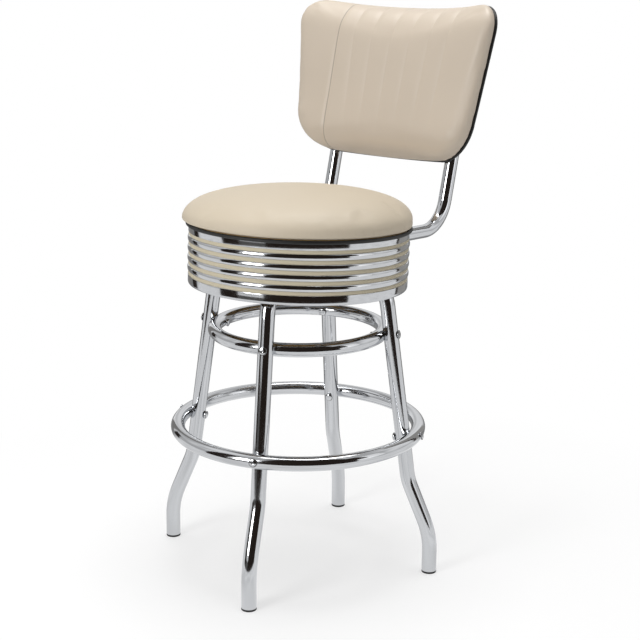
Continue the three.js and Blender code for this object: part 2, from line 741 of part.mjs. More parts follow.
// One rib's outline, from the groove below it to the groove above it
function ribOutline(index) {
  const bottom = grooveBottom(index) + GROOVE_WIDTH;
  return Array.from({ length: RIB_POINTS }, (_, step) => {
    const angle = (Math.PI * step) / (RIB_POINTS - 1);
    const swell = (RIB_CREST_RADIUS - RIB_EDGE_RADIUS) * Math.sin(angle) ** (2 / 3);
    return [RIB_EDGE_RADIUS + swell, bottom + (RIB_WIDTH * (1 - Math.cos(angle))) / 2];
  });
}

function grooveOutline(index) {
  const bottom = grooveBottom(index);
  return [[GROOVE_RADIUS, bottom], [GROOVE_RADIUS, bottom + GROOVE_WIDTH]];
}

function skirtProfile() {
  const outline = [
    [SKIRT_BORE_RADIUS, SKIRT_BOTTOM],
    [LIP_RADIUS, SKIRT_BOTTOM],
    [BAND_RADIUS, SKIRT_BOTTOM + LIP_RISE],
    [BAND_RADIUS, grooveBottom(0)],
  ];
  for (let index = 0; index < RIB_COUNT; index += 1) {
    outline.push(...grooveOutline(index), ...ribOutline(index));
  }
  outline.push(
    ...grooveOutline(RIB_COUNT),
    [BAND_RADIUS, grooveBottom(RIB_COUNT) + GROOVE_WIDTH],
    [BAND_RADIUS, SKIRT_TOP],
    [SKIRT_BORE_RADIUS, SKIRT_TOP],
  );
  return [...outline, outline[0]];
}

// A slot with a round bottom, open at the skirt's top edge, that a back tube passes through
function tubeSlot(side, radius) {
  const slot = new THREE.Shape();
  slot.moveTo(radius, CUT_OVERRUN + BACK_TUBE_RADIUS);
  slot.lineTo(-radius, CUT_OVERRUN + BACK_TUBE_RADIUS);
  slot.lineTo(-radius, 0);
  slot.absarc(0, 0, radius, Math.PI, 2 * Math.PI, false);
  const geometry = new THREE.ExtrudeGeometry(slot, {
    depth: RIB_CREST_RADIUS + CUT_OVERRUN,
    curveSegments: 5,
    bevelEnabled: false,
  });
  geometry.rotateX(Math.PI / 2).rotateZ(Math.PI);
  return geometry.translate((side * BACK_TUBE_SPACING) / 2, 0, BACK_TUBE_LEVEL);
}

function skirt() {
  const slots = sideSigns((side) => tubeSlot(side, BACK_TUBE_RADIUS + SEAT_GAP));
  return cut(revolve(skirtProfile()), ...slots);
}

function insertStrip(index) {
  const bottom = grooveBottom(index) + SEAT_GAP;
  const top = grooveBottom(index) + GROOVE_WIDTH - SEAT_GAP;
  return washer(GROOVE_RADIUS + SEAT_GAP, STRIP_RADIUS, bottom, top);
}

// The top strip is cut by the back tubes into a long front length and a short rear one
function topStripLengths() {
  const strip = insertStrip(RIB_COUNT);
  const slots = sideSigns((side) => tubeSlot(side, BACK_TUBE_RADIUS + SEAT_GAP));
  const depth = RIB_CREST_RADIUS + CUT_OVERRUN;
  const rearBlock = new THREE.BoxGeometry(BACK_TUBE_SPACING, depth, RIBBED_HEIGHT);
  rearBlock.translate(0, depth / 2, grooveBottom(RIB_COUNT));
  return [
    piece(`insert_strip_${RIB_COUNT + 1}_front`, cut(strip, ...slots, rearBlock), 'strip'),
    piece(`insert_strip_${RIB_COUNT + 1}_rear`, cut(common(strip, rearBlock), ...slots), 'strip'),
  ];
}

function insertStrips() {
  const whole = Array.from({ length: RIB_COUNT }, (_, index) =>
    piece(`insert_strip_${index + 1}`, insertStrip(index), 'strip'),
  );
  return [...whole, ...topStripLengths()];
}

function swivelTopGroup() {
  const group = new THREE.Group();
  group.add(
    piece('swivel_top_plate', swivelTopPlate(), 'zinc'),
    piece('seat_spacer', seatSpacer(), 'plywood'),
  );
  return group;
}

function seatGroup() {
  const group = tiltedGroup();
  group.add(
    piece('seat_board', seatBoard(), 'plywood'),
    piece('seat_cushion', seatCushion(), 'cream'),
    piece('seat_welt', seatWelt(), 'welt'),
    piece('skirt', skirt(), 'chrome'),
    ...insertStrips(),
  );
  return group;
}

// ---- section: back tubes ----

const BACK_BORE_RADIUS = BACK_TUBE_RADIUS - BACK_TUBE_WALL;
const BACK_BOLT_PLACES = [BACK_BOLT_LOW, BACK_BOLT_HIGH];

// The leaning frame stands at the tubes' corner, with Z up the tubes and Y out of the back
function leaningGroup() {
  const group = new THREE.Group();
  group.position.set(0, BACK_CORNER_REACH, BACK_TUBE_LEVEL);
  group.rotation.x = -radians(BACK_LEAN);
  return group;
}

function backTubePath() {
  const corner = new THREE.Vector3(0, BACK_CORNER_REACH, BACK_TUBE_LEVEL);
  const start = new THREE.Vector3(0, -BACK_TUBE_INNER_REACH, BACK_TUBE_LEVEL);
  const lean = radians(BACK_LEAN);
  const rise = new THREE.Vector3(0, Math.sin(lean), Math.cos(lean));
  const end = corner.clone().addScaledVector(rise, BACK_TUBE_HEIGHT);
  return bentPath(start, [{ point: corner, radius: BACK_BEND_RADIUS, steps: 5 }], end);
}

// A hole or bolt about the Z axis, turned to point out of the back of the leaning panel
function outOfBack(geometry, side, height, reach) {
  geometry.rotateX(-Math.PI / 2);
  return geometry.translate((side * BACK_TUBE_SPACING) / 2, reach, height);
}

function intoRoom(geometry) {
  const frame = leaningGroup();
  frame.updateMatrix();
  return geometry.applyMatrix4(frame.matrix);
}

function backBoltHole(side, height) {
  const reach = BACK_TUBE_RADIUS + BACK_BOLT_BITE + BACK_CUSHION_RIM + CUT_OVERRUN;
  const hole = disc(BOLT_RADIUS + HOLE_GAP, -reach, reach, SCREW_FACETS);
  return outOfBack(hole, side, height, 0);
}

function backTube(side) {
  const sideways = (side * BACK_TUBE_SPACING) / 2;
  const plain = tube(backTubePath(), BACK_TUBE_RADIUS, BACK_BORE_RADIUS);
  const below = BACK_TUBE_LEVEL - BACK_TUBE_RADIUS - CUT_OVERRUN;
  return cut(
    plain.translate(sideways, 0, 0),
    tubeScrewHole(side, below, BOARD_BOTTOM + CUT_OVERRUN),
    ...BACK_BOLT_PLACES.map((height) => intoRoom(backBoltHole(side, height))),
  );
}

// Driven up through the tube's flat run into the seat board
function tubeScrew(side) {
  const seat = BACK_TUBE_LEVEL - BACK_TUBE_RADIUS - SEAT_GAP;
  const tip = BOARD_BOTTOM + TUBE_SCREW_BITE;
  const profile = [
    [0, seat - TUBE_SCREW_HEAD_HEIGHT],
    [TUBE_SCREW_HEAD_RADIUS, seat - TUBE_SCREW_HEAD_HEIGHT],
    [TUBE_SCREW_HEAD_RADIUS, seat],
    [TUBE_SCREW_RADIUS, seat],
    [TUBE_SCREW_RADIUS, tip],
    [0, tip],
  ];
  const screw = revolve(profile, SCREW_FACETS);
  return screw.translate((side * BACK_TUBE_SPACING) / 2, -TUBE_SCREW_REACH, 0);
}

function tubeCap(side) {
  const plug = plugRadius(BACK_BORE_RADIUS);
  const profile = [
    [0, -CAP_PLUG_LENGTH],
    [plug, -CAP_PLUG_LENGTH],
    [plug, SEAT_GAP],
    [BACK_TUBE_RADIUS, SEAT_GAP],
    [BACK_TUBE_RADIUS, CAP_THICKNESS / 2],
    [plug, CAP_THICKNESS],
    [0, CAP_THICKNESS],
  ];
  const sideways = (side * BACK_TUBE_SPACING) / 2;
  return revolve(profile, TUBE_FACETS).translate(sideways, 0, BACK_TUBE_HEIGHT);
}

// ---- section: back panel ----

// Y of the panel's rear face. It bends towards the sitter at its sides and rests on the tubes
function rearFaceAt(sideways) {
  const atTube = BACK_TUBE_SPACING / 2;
  const slope = Math.atan(atTube / BACK_CURVE_RADIUS);
  const rest = -(BACK_TUBE_RADIUS + SEAT_GAP) / Math.cos(slope);
  return rest + (atTube ** 2 - sideways ** 2) / (2 * BACK_CURVE_RADIUS);
}

function halfWidthAt(height, inset) {
  const share = (height - BACK_BOTTOM) / (BACK_TOP - BACK_BOTTOM);
  const full = THREE.MathUtils.lerp(BACK_BOTTOM_HALF_WIDTH, BACK_TOP_HALF_WIDTH, share) - inset;
  const fromBottom = height - BACK_BOTTOM - inset;
  const fromTop = BACK_TOP - inset - height;
  const corner = fromBottom < fromTop ? BACK_LOWER_CORNER_RADIUS : BACK_UPPER_CORNER_RADIUS;
  const radius = corner - inset;
  const short = Math.max(radius - Math.min(fromBottom, fromTop), 0);
  return full - radius + Math.sqrt(Math.max(radius ** 2 - short ** 2, 0));
}

// Row heights from bottom to top: steps round each corner, and a few between the corners
function rowHeights(inset) {
  const low = BACK_BOTTOM + inset;
  const high = BACK_TOP - inset;
  const lowerRadius = BACK_LOWER_CORNER_RADIUS - inset;
  const upperRadius = BACK_UPPER_CORNER_RADIUS - inset;
  const cornerRows = (radius) => Array.from({ length: CORNER_ROW_COUNT + 1 }, (_, step) => {
    const angle = (Math.PI / 2) * (step / CORNER_ROW_COUNT);
    return radius * (1 - Math.cos(angle));
  });
  const middle = MIDDLE_ROW_SHARES.map((share) =>
    THREE.MathUtils.lerp(low + lowerRadius, high - upperRadius, share),
  );
  const lower = cornerRows(lowerRadius).map((rise) => low + rise);
  const upper = cornerRows(upperRadius).map((drop) => high - drop).reverse();
  return [...lower, ...middle, ...upper];
}

function mirroredShares(shares) {
  return [...shares.slice(1).reverse().map((share) => -share), ...shares];
}

// A closed slab on a grid of rows and columns: depthAt gives its front face and rearAt its back
function panel(inset, shares, rearAt, depthAt) {
  const rows = rowHeights(inset);
  const columns = mirroredShares(shares);
  const positions = [];
  [0, 1].forEach((front) => rows.forEach((height) => columns.forEach((share) => {
    const sideways = share * halfWidthAt(height, inset);
    const depth = rearAt(sideways) - front * depthAt(share, height, sideways);
    positions.push(sideways, depth, height);
  })));
  const at = (front, row, column) => (front * rows.length + row) * columns.length + column;
  const index = [];
  const quad = (a, b, c, d) => index.push(a, b, c, a, c, d);
  for (let row = 0; row < rows.length - 1; row += 1) {
    for (let column = 0; column < columns.length - 1; column += 1) {
      quad(at(0, row, column), at(0, row + 1, column),
        at(0, row + 1, column + 1), at(0, row, column + 1));
      quad(at(1, row, column), at(1, row, column + 1),
        at(1, row + 1, column + 1), at(1, row + 1, column));
    }
  }
  const loop = edgeLoop(rows.length, columns.length);
  loop.forEach(([row, column], place) => {
    const [nextRow, nextColumn] = loop[(place + 1) % loop.length];
    quad(at(0, row, column), at(0, nextRow, nextColumn),
      at(1, nextRow, nextColumn), at(1, row, column));
  });
  const geometry = new THREE.BufferGeometry();
  geometry.setAttribute('position', new THREE.Float32BufferAttribute(positions, 3));
  geometry.setIndex(index);
  return geometry;
}

// The grid's edge as [row, column] pairs: along the bottom, up the right, back and down the left
function edgeLoop(rowCount, columnCount) {
  const loop = [];
  for (let column = 0; column < columnCount - 1; column += 1) loop.push([0, column]);
  for (let row = 0; row < rowCount - 1; row += 1) loop.push([row, columnCount - 1]);
  for (let column = columnCount - 1; column > 0; column -= 1) loop.push([rowCount - 1, column]);
  for (let row = rowCount - 1; row > 0; row -= 1) loop.push([row, 0]);
  return loop;
}

// How much longer a layer of the panel measures along Y than square to its face
function slantAt(sideways) {
  return Math.hypot(1, sideways / BACK_CURVE_RADIUS);
}

function coverFrontAt(sideways) {
  return rearFaceAt(sideways) - COVER_THICKNESS * slantAt(sideways);
}

function boardRearAt(sideways) {
  return coverFrontAt(sideways) - LAYER_GAP * slantAt(sideways);
}

function boardFrontAt(sideways) {
  return boardRearAt(sideways) - BACK_BOARD_THICKNESS * slantAt(sideways);
}

function backHoles() {
  return sideSigns((side) => BACK_BOLT_PLACES.map((height) => backBoltHole(side, height))).flat();
}

function backCover() {
  const depthAt = (share, height, sideways) => rearFaceAt(sideways) - coverFrontAt(sideways);
  const plain = panel(COVER_INSET, PLAIN_SHARES, rearFaceAt, depthAt);
  return cut(plain, ...backHoles());
}

function backBoard() {
  const depthAt = (share, height, sideways) => boardRearAt(sideways) - boardFrontAt(sideways);
  const plain = panel(BACK_BOARD_INSET, PLAIN_SHARES, boardRearAt, depthAt);
  return cut(plain, ...backHoles());
}

function weltDepthAt(sideways) {
  return rearFaceAt(sideways) - BACK_WELT_RADIUS * slantAt(sideways);
}

function cushionRearAt(sideways) {
  return weltDepthAt(sideways) - (BACK_WELT_RADIUS + LAYER_GAP) * slantAt(sideways);
}

function edgeRoll(share) {
  return Math.max(1 - Math.abs(share) ** EDGE_ROLL_POWER, 0) ** (1 / EDGE_ROLL_ROOT);
}

// How deep a channel is at one column and row. It fades out towards the bottom edge
function channelAt(share, height) {
  const place = FLUTE_SHARES.findIndex((flute) => Math.abs(flute - Math.abs(share)) < 1e-6);
  const upShare = (height - BACK_BOTTOM) / (BACK_TOP - BACK_BOTTOM);
  const [none, full] = CHANNEL_FADE_SHARES;
  const fade = THREE.MathUtils.smoothstep(upShare, none, full);
  return place >= 0 && place % 2 === 0 ? CHANNEL_DEPTH * fade : 0;
}

function cushionDepthAt(share, height) {
  const up = (2 * (height - BACK_BOTTOM)) / (BACK_TOP - BACK_BOTTOM) - 1;
  const roll = edgeRoll(share) * edgeRoll(up);
  const crown = BACK_CUSHION_CROWN * (1 - share ** 2) * (1 - up ** 4);
  return BACK_CUSHION_RIM + (BACK_CUSHION_DEPTH - channelAt(share, height)) * roll + crown;
}

// The padded front, with a pocket behind that wraps the board
function backCushion() {
  const shares = [...FLUTE_SHARES, ...SIDE_SHARES];
  const pad = panel(0, shares, cushionRearAt, cushionDepthAt);
  const pocketFrontAt = (sideways) => boardFrontAt(sideways) - LAYER_GAP * slantAt(sideways);
  const pocketRearAt = (sideways) => boardRearAt(sideways) + CUT_OVERRUN;
  const pocketDepthAt = (share, height, sideways) =>
    pocketRearAt(sideways) - pocketFrontAt(sideways);
  const inset = BACK_BOARD_INSET - LAYER_GAP;
  return cut(pad, panel(inset, PLAIN_SHARES, pocketRearAt, pocketDepthAt));
}

// A welt that runs round the rear edge, its two ends butted at the middle of the bottom
function backWelt() {
  const rows = rowHeights(BACK_WELT_INSET);
  const columns = mirroredShares(PLAIN_SHARES);
  const middle = (columns.length - 1) / 2;
  const loop = edgeLoop(rows.length, columns.length);
  const around = [...loop.slice(middle + 1), ...loop.slice(0, middle)];
  const corners = around.map(([row, column]) => {
    const sideways = columns[column] * halfWidthAt(rows[row], BACK_WELT_INSET);
    return new THREE.Vector3(sideways, weltDepthAt(sideways), rows[row]);
  });
  const end = (side) => new THREE.Vector3(side * BACK_WELT_SPLIT / 2, weltDepthAt(0), rows[0]);
  const path = pathThrough([end(1), ...corners, end(-1)]);
  return tube(path, BACK_WELT_RADIUS, 0, HEX_FACETS);
}

function backBolt(side, height) {
  const reach = BACK_TUBE_RADIUS + SEAT_GAP;
  const through = -rearFaceAt(BACK_TUBE_SPACING / 2) + COVER_THICKNESS + SEAT_GAP;
  const bolt = domeBolt(reach + through + BACK_BOLT_BITE);
  return outOfBack(bolt, side, height, reach);
}

function backGroup() {
  const group = tiltedGroup();
  const leaning = leaningGroup();
  const sideNames = ['left', 'right'];
  leaning.add(
    piece('back_cover', backCover(), 'cream'),
    piece('back_board', backBoard(), 'plywood'),
    piece('back_cushion', backCushion(), 'cream'),
    piece('back_welt', backWelt(), 'welt'),
  );
  sideSigns((side) => side).forEach((side, index) => {
    const name = sideNames[index];
    group.add(
      piece(`back_tube_${name}`, backTube(side), 'chrome'),
      piece(`tube_screw_${name}`, tubeScrew(side), 'zinc'),
    );
    leaning.add(
      piece(`tube_cap_${name}`, tubeCap(side), 'plastic'),
      piece(`back_bolt_lower_${name}`, backBolt(side, BACK_BOLT_LOW), 'chrome'),
      piece(`back_bolt_upper_${name}`, backBolt(side, BACK_BOLT_HIGH), 'chrome'),
    );
  });
  group.add(leaning);
  return group;
}

// The origin is on the floor, below the middle of the stool's bounding box
const stool = new THREE.Group();
stool.add(baseGroup(), swivelTopGroup(), seatGroup(), backGroup());
stool.updateMatrixWorld(true);
const bounds = new THREE.Box3().setFromObject(stool, true);
const middle = bounds.getCenter(new THREE.Vector3());
stool.position.set(-middle.x, -middle.y, -bounds.min.z);

export default stool;
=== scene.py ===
# Counter stool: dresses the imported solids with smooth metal, padded vinyl, welts and a pale studio.
from math import atan, cos, exp, hypot, pi, radians, sin, tan

import bpy
from bpy.props import FloatProperty, FloatVectorProperty, IntProperty, PointerProperty
from mathutils import Matrix, Vector


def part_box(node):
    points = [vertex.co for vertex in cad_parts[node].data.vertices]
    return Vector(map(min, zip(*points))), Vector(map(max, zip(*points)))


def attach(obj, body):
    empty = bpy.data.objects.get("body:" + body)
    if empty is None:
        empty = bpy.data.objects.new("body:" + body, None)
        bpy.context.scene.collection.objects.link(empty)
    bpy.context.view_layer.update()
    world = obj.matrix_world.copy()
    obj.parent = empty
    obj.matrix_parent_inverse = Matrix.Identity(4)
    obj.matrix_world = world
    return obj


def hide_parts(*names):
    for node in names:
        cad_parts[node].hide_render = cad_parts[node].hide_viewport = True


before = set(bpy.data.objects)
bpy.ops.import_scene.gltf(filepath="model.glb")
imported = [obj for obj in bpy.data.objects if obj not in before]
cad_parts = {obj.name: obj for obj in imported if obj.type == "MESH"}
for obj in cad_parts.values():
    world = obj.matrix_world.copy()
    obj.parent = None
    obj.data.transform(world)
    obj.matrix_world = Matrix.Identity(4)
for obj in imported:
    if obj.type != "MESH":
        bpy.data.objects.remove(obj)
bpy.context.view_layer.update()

bl_info = {
    "name": "Counter stool",
    "version": (1, 0, 0),
    "blender": (4, 5, 0),
    "location": "3D View > Sidebar > Stool",
    "description": "Models a chrome counter stool with a padded swivel seat and a curved back",
    "category": "Object",
}

MM = 0.001
# Limits and small shapes: a hair's breadth, the distance at which points are merged, the
# rounding of a pressed edge, and the gap under a nut as a share of the fit.
TINY = 1e-6
WELD = 1e-5
EDGE = 0.5 * MM
NUT_SLACK = 1.5
# Painted shade covers a head outside this share of its radius, where it isn't too steep: a dark line
# standing in for the shadow and dark reflection at its edge.
RIM_SHARE = 0.82
RIM_SLOPE = 0.25
# The back's fineness, and its channels' places as shares of its half width.
CORNER_STEPS = 14
COVER_COLUMNS = 15
CHANNELS = (-0.39, -0.2, 0, 0.2, 0.4, 0.59)
# The cloth's simulation.
CLOTH_FRAMES = 20
CLOTH_STIFFNESS = 30
CLOTH_BENDING = 2
# How far and which way the seat's padding slumps, how much it drops, and how much more on
# that side.
SLUMP = 3.6 * MM
SLUMP_SIDE = Vector((-0.787, -0.617, 0))
SLUMP_DROP = 1.6 * MM
SLUMP_LEAN = 3.4 * MM
# One stitch and its gap along the seam, and the seam's brightness beside the vinyl's: darker
# stitches, with painted shade of the seam's crease between them.
STITCH = 3.5 * MM
THREAD_AND_CREASE_SHADE = 0.965 * 0.42
# The camera's side of the stool in degrees, and the way from there to the far side.
CAMERA_SIDE = -51.0
BEHIND = (-0.63, 0.777, 0)
WHITE = (1, 1, 1, 1)
LEG_NAMES = ("right", "rear", "left", "front")
SIDES = {"left": -1, "right": 1}


# ---- sizes and colours ----


def size(name, millimetres, description):
    """A length that a user can change, kept in metres."""
    return FloatProperty(
        name=name, description=description, default=millimetres * MM, precision=5, unit="LENGTH"
    )


def angle(name, degrees, description):
    """An angle that a user can change, kept in radians."""
    return FloatProperty(
        name=name, description=description, default=radians(degrees), unit="ROTATION"
    )


def colour(name, value, description):
    """A linear colour that a user can change."""
    return FloatVectorProperty(
        name=name, description=description, default=value, subtype="COLOR", min=0, max=1
    )


class STOOL_PG_base(bpy.types.PropertyGroup):
    fit: size("Fit", 0.3, "Gap between pieces that touch")
    leg_radius: size("Leg radius", 12.7, "Outside radius of a leg's tube")
    leg_wall: size("Leg wall", 1.6, "Wall of a leg's tube")
    leg_turn: angle("Leg turn", 20, "Turn of the first leg from the X axis")
    splay: angle("Splay", 8, "Lean of the legs' long run")
    foot_circle: size("Foot circle", 240, "Distance of a foot from the stool's axis")
    ankle_height: size("Ankle height", 68, "Height of the lowest bend's corner")
    ankle_bend: size("Ankle bend", 140, "Radius of the lowest bend")
    knee_height: size("Knee height", 164, "Height of the middle bend's corner")
    knee_circle: size("Knee circle", 198.6, "Distance of the middle bend from the axis")
    knee_bend: size("Knee bend", 100, "Radius of the middle bend")
    shoulder_height: size("Shoulder height", 533.3, "Height of a leg's top run")
    shoulder_bend: size("Shoulder bend", 80, "Radius of the top bend")
    leg_end: size("Leg end", 30, "Distance of a leg's inner end from the axis")
    glide_thickness: size("Glide thickness", 3.6, "Height of a glide's foot")
    glide_chamfer: size("Glide chamfer", 1.2, "Chamfer round a glide's foot")
    glide_plug: size("Glide plug", 14, "Length of a glide's plug in the tube")
    foot_ring_height: size("Foot ring height", 242.7, "Height of the foot ring's middle")
    foot_ring_tube: size("Foot ring tube", 12, "Radius of the foot ring's tube")
    foot_ring_saddle: size("Foot ring saddle", 4.8, "How far a leg is let into the foot ring")
    upper_ring_height: size("Upper ring height", 413, "Height of the upper ring's middle")
    upper_ring_tube: size("Upper ring tube", 11.6, "Radius of the upper ring's tube")
    upper_ring_saddle: size("Upper ring saddle", 4.6, "How far a leg is let into the upper ring")
    bolt_radius: size("Bolt radius", 3, "Radius of a bolt's shank")
    bolt_head: size("Bolt head", 7.2, "Radius of a bolt's domed head")
    bolt_head_height: size("Bolt head height", 2.8, "Height of a bolt's domed head")
    socket: size("Socket", 2.4, "Radius and depth of the six-sided socket")
    nut_radius: size("Nut radius", 7, "Radius of a cap nut")
    nut_height: size("Nut height", 4.6, "Height of a cap nut")


class STOOL_PG_seat(bpy.types.PropertyGroup):
    tilt: angle("Tilt", 2.2, "Backward lean of the seat and its back")
    board_bottom: size("Board height", 589, "Height of the seat board's underside at the axis")
    board_thickness: size("Board thickness", 12, "Thickness of the seat board")
    board_radius: size("Board radius", 182.5, "Radius of the seat board")
    welt_circle: size("Welt circle", 187, "Radius of the circle that the seat's welt follows")
    welt_radius: size("Welt radius", 3.1, "Radius of the seat's welt")
    cushion_foot: size("Cushion foot", 188.2, "Radius of the cushion at the welt")
    cushion_radius: size("Cushion radius", 192.4, "Radius of the cushion at its widest")
    cushion_side: size("Cushion side", 10, "Rise from the welt to the cushion's widest place")
    cushion_crown: size("Cushion crown", 46.5, "Rise from the widest place to the top")
    roundness: FloatProperty(name="Roundness", description="Fullness of the crown", default=2.25)
    rib_count: IntProperty(name="Ribs", description="Raised ribs round the skirt", default=4)
    rib_crest: size("Rib crest", 186.3, "Radius of a rib's crest")
    rib_edge: size("Rib edge", 182.3, "Radius of a rib's edge")
    rib_width: size("Rib width", 11.1, "Width of a rib")
    groove_radius: size("Groove radius", 181, "Radius of the floor of a groove")
    groove_width: size("Groove width", 5.5, "Width of a groove")
    top_band: size("Top band", 9.6, "Width of the flat band above the ribs")
    base_band: size("Base band", 16, "Width of the flat band below the ribs")
    band_radius: size("Band radius", 185.3, "Radius of the two flat bands")
    lip_radius: size("Lip radius", 182.4, "Radius of the rolled lower edge")
    lip_rise: size("Lip rise", 4.5, "Height of the rolled lower edge")
    skirt_bore: size("Skirt bore", 179.3, "Inside radius of the skirt")
    strip_radius: size("Strip radius", 184.9, "Outside radius of the insert strips")


class STOOL_PG_back(bpy.types.PropertyGroup):
    tube_radius: size("Tube radius", 11.6, "Outside radius of a back tube")
    tube_wall: size("Tube wall", 1.6, "Wall of a back tube")
    spacing: size("Tube spacing", 253, "Distance between the two back tubes")
    inner_reach: size("Inner reach", 70, "How far a tube runs forward under the seat")
    corner_reach: size("Corner reach", 237, "Distance of the tubes' corner behind the axis")
    bend: size("Tube bend", 63, "Radius of a back tube's bend")
    lean: angle("Lean", 12, "Lean of the back from square to the seat")
    tube_height: size("Tube height", 348, "Height of a back tube above its corner")
    cap_thickness: size("Cap thickness", 3, "Height of a tube cap")
    cap_plug: size("Cap plug", 12, "Length of a cap's plug in the tube")
    bottom: size("Panel bottom", 113, "Height of the panel's lower edge above the tubes' corner")
    top: size("Panel top", 384, "Height of the panel's upper edge above the tubes' corner")
    bottom_half: size("Bottom half width", 179, "Half of the panel's width at its lower edge")
    top_half: size("Top half width", 211, "Half of the panel's width at its upper edge")
    lower_corner: size("Lower corners", 66, "Radius of the panel's lower corners")
    upper_corner: size("Upper corners", 52, "Radius of the panel's upper corners")
    curve: size("Curve radius", 356, "Radius of the panel's sideways curve")
    cover_thickness: size("Cover thickness", 6, "Thickness of the rear cover")
    cover_inset: size("Cover inset", 8, "How far the cover stays inside the panel's edge")
    welt_radius: size("Welt radius", 3, "Radius of the back's welt")
    welt_inset: size("Welt inset", 3.4, "How far the welt stays inside the panel's edge")
    bolt_low: size("Lower bolt", 180, "Height of the lower bolts above the tubes' corner")
    bolt_high: size("Upper bolt", 312, "Height of the upper bolts above the tubes' corner")
    channel_depth: size("Channel depth", 3.0, "Depth of a channel's crease")
    channel_width: size("Channel width", 6, "Half width of a channel's crease")
    pad_rim: size("Pad rim", 10, "Thickness of the padding at its edge")
    pad_depth: size("Pad depth", 11, "How much thicker the padding is inside its rolled edge")
    pad_crown: size("Pad crown", 46, "How much thicker the padding is in its middle")
    corner_fill: size("Corner fill", 17, "Padding added at the lower corners of the back")
    corner_lift: size("Corner lift", 5, "Rise of the upper corners above the upper edge's middle")
    layer_gap: size("Layer gap", 0.8, "Gap between the layers of the back")
    seam_share: FloatProperty(
        name="Seam place", description="Side seam as a share of the half width", default=0.585
    )
    seam_lean: FloatProperty(
        name="Seam lean", description="How much that share changes to the edges", default=0.05
    )


class STOOL_PG_finish(bpy.types.PropertyGroup):
    chrome: colour("Chrome", (0.78, 0.785, 0.78), "Polished chrome plate")
    zinc: colour("Zinc", (0.42, 0.43, 0.44), "Zinc plate on the swivel and screws")
    vinyl: colour("Vinyl", (0.578, 0.496, 0.402), "Cream vinyl of the seat and back")
    # Painted light: the strips' cream is set much lighter than the cushion's cream, which it matches,
    # standing in for light that their shaded grooves miss.
    strip: colour("Strip", (0.93, 0.845, 0.73), "Cream strips in the skirt's grooves")
    welt: colour("Welt", (0.012, 0.011, 0.010), "Black vinyl welts")
    plastic: colour("Plastic", (0.014, 0.014, 0.014), "Black glides and caps")
    # Painted shade: the dark line about the heads of bolts and nuts stands in for the shadow and dark
    # reflection at their edges.
    dust: colour("Dust", (0.05, 0.048, 0.045), "Dark line about the heads of bolts and nuts")
    plywood: colour("Plywood", (0.43, 0.27, 0.11), "Boards and spacer")
    floor: colour("Floor", (0.85, 0.85, 0.85), "Studio floor")
    grain: size("Grain", 1.3, "Size of the vinyl's grain")


def settings():
    """The base, seat, back and finish settings of the scene."""
    scene = bpy.context.scene
    return scene.stool_base, scene.stool_seat, scene.stool_back, scene.stool_finish


# ---- places ----


def shifted(step):
    """A move by a step."""
    return Matrix.Translation(step)


def turned(turn, axis):
    """A turn about an axis through the origin."""
    return Matrix.Rotation(turn, 4, axis)


def floor_frame():
    """The stool's axis at floor level."""
    low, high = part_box("swivel_base_plate")
    return shifted(((low.x + high.x) / 2, (low.y + high.y) / 2, 0))


def leg_frame(index):
    """A leg's own frame, with X pointing outwards from the stool's axis."""
    base = settings()[0]
    return floor_frame() @ turned(base.leg_turn + index * pi / 2, "Z")


def seat_frame():
    """The frame of the seat, which leans back about the underside of its board."""
    seat = settings()[1]
    rise = shifted((0, 0, seat.board_bottom))
    return floor_frame() @ rise @ turned(-seat.tilt, "X") @ rise.inverted()


def tube_level():
    """Height of the back tubes' flat run in the seat's frame."""
    base, seat, back, _ = settings()
    return seat.board_bottom - base.fit - back.tube_radius


def back_frame():
    """The frame of the back, at the tubes' corner with Z up the tubes."""
    back = settings()[2]
    corner = shifted((0, back.corner_reach, tube_level()))
    return seat_frame() @ corner @ turned(-back.lean, "X")


def splay_radius(height):
    """Distance of a leg's long run from the axis at a height."""
    base = settings()[0]
    return base.knee_circle - (height - base.knee_height) * tan(base.splay)


def ring_sizes(name):
    """Height of a ring, radius of its tube, and distance of its middle from a leg's."""
    base = settings()[0]
    height, tube, saddle = (
        getattr(base, f"{name}_ring_{part}") for part in ("height", "tube", "saddle")
    )
    return height, tube, base.leg_radius + tube + base.fit - saddle


def ring_radius(name):
    """Radius of the foot ring, outside the legs, or of the upper ring, inside them."""
    height, _, offset = ring_sizes(name)
    outwards = 1 if name == "foot" else -1
    return splay_radius(height) + outwards * offset / cos(settings()[0].splay)


def half_width(height):
    """Half of the back panel's width at a height, without its corners."""
    back = settings()[2]
    share = (height - back.bottom) / (back.top - back.bottom)
    return back.bottom_half + (back.top_half - back.bottom_half) * share


def edge_at(height):
    """Half of the back panel's width at a height, drawn in at its round corners."""
    back = settings()[2]
    low, high = height - back.bottom, back.top - height
    radius = back.lower_corner if low < high else back.upper_corner
    short = max(radius - min(low, high), 0)
    return half_width(height) - radius + max(radius**2 - short**2, 0) ** 0.5


def slant(sideways):
    """How much longer a layer of the panel measures along Y than square to its face."""
    return hypot(1, sideways / settings()[2].curve)


def rear_face(sideways):
    """Y of the panel's rear face, which rests on the tubes and bends forward at its sides."""
    base, _, back, _ = settings()
    at_tube = back.spacing / 2
    rest = -(back.tube_radius + base.fit) / cos(atan(at_tube / back.curve))
    return rest + (at_tube**2 - sideways**2) / (2 * back.curve)


# ---- modelling ----


def leave_all():
    """Deselects everything, in object mode."""
    if bpy.context.object and bpy.context.object.mode != "OBJECT":
        bpy.ops.object.mode_set(mode="OBJECT")
    bpy.ops.object.select_all(action="DESELECT")


def take(piece):
    """Makes a piece the only selected object."""
    leave_all()
    piece.select_set(True)
    bpy.context.view_layer.objects.active = piece
    return piece


def start(operator, name, **values):
    """Starts a piece from a primitive, with nothing else selected."""
    leave_all()
    operator(**values)
    piece = bpy.context.object
    piece.name = name
    return piece


def edit_all():
    """Enters edit mode with everything selected."""
    bpy.ops.object.mode_set(mode="EDIT")
    bpy.ops.mesh.select_all(action="SELECT")


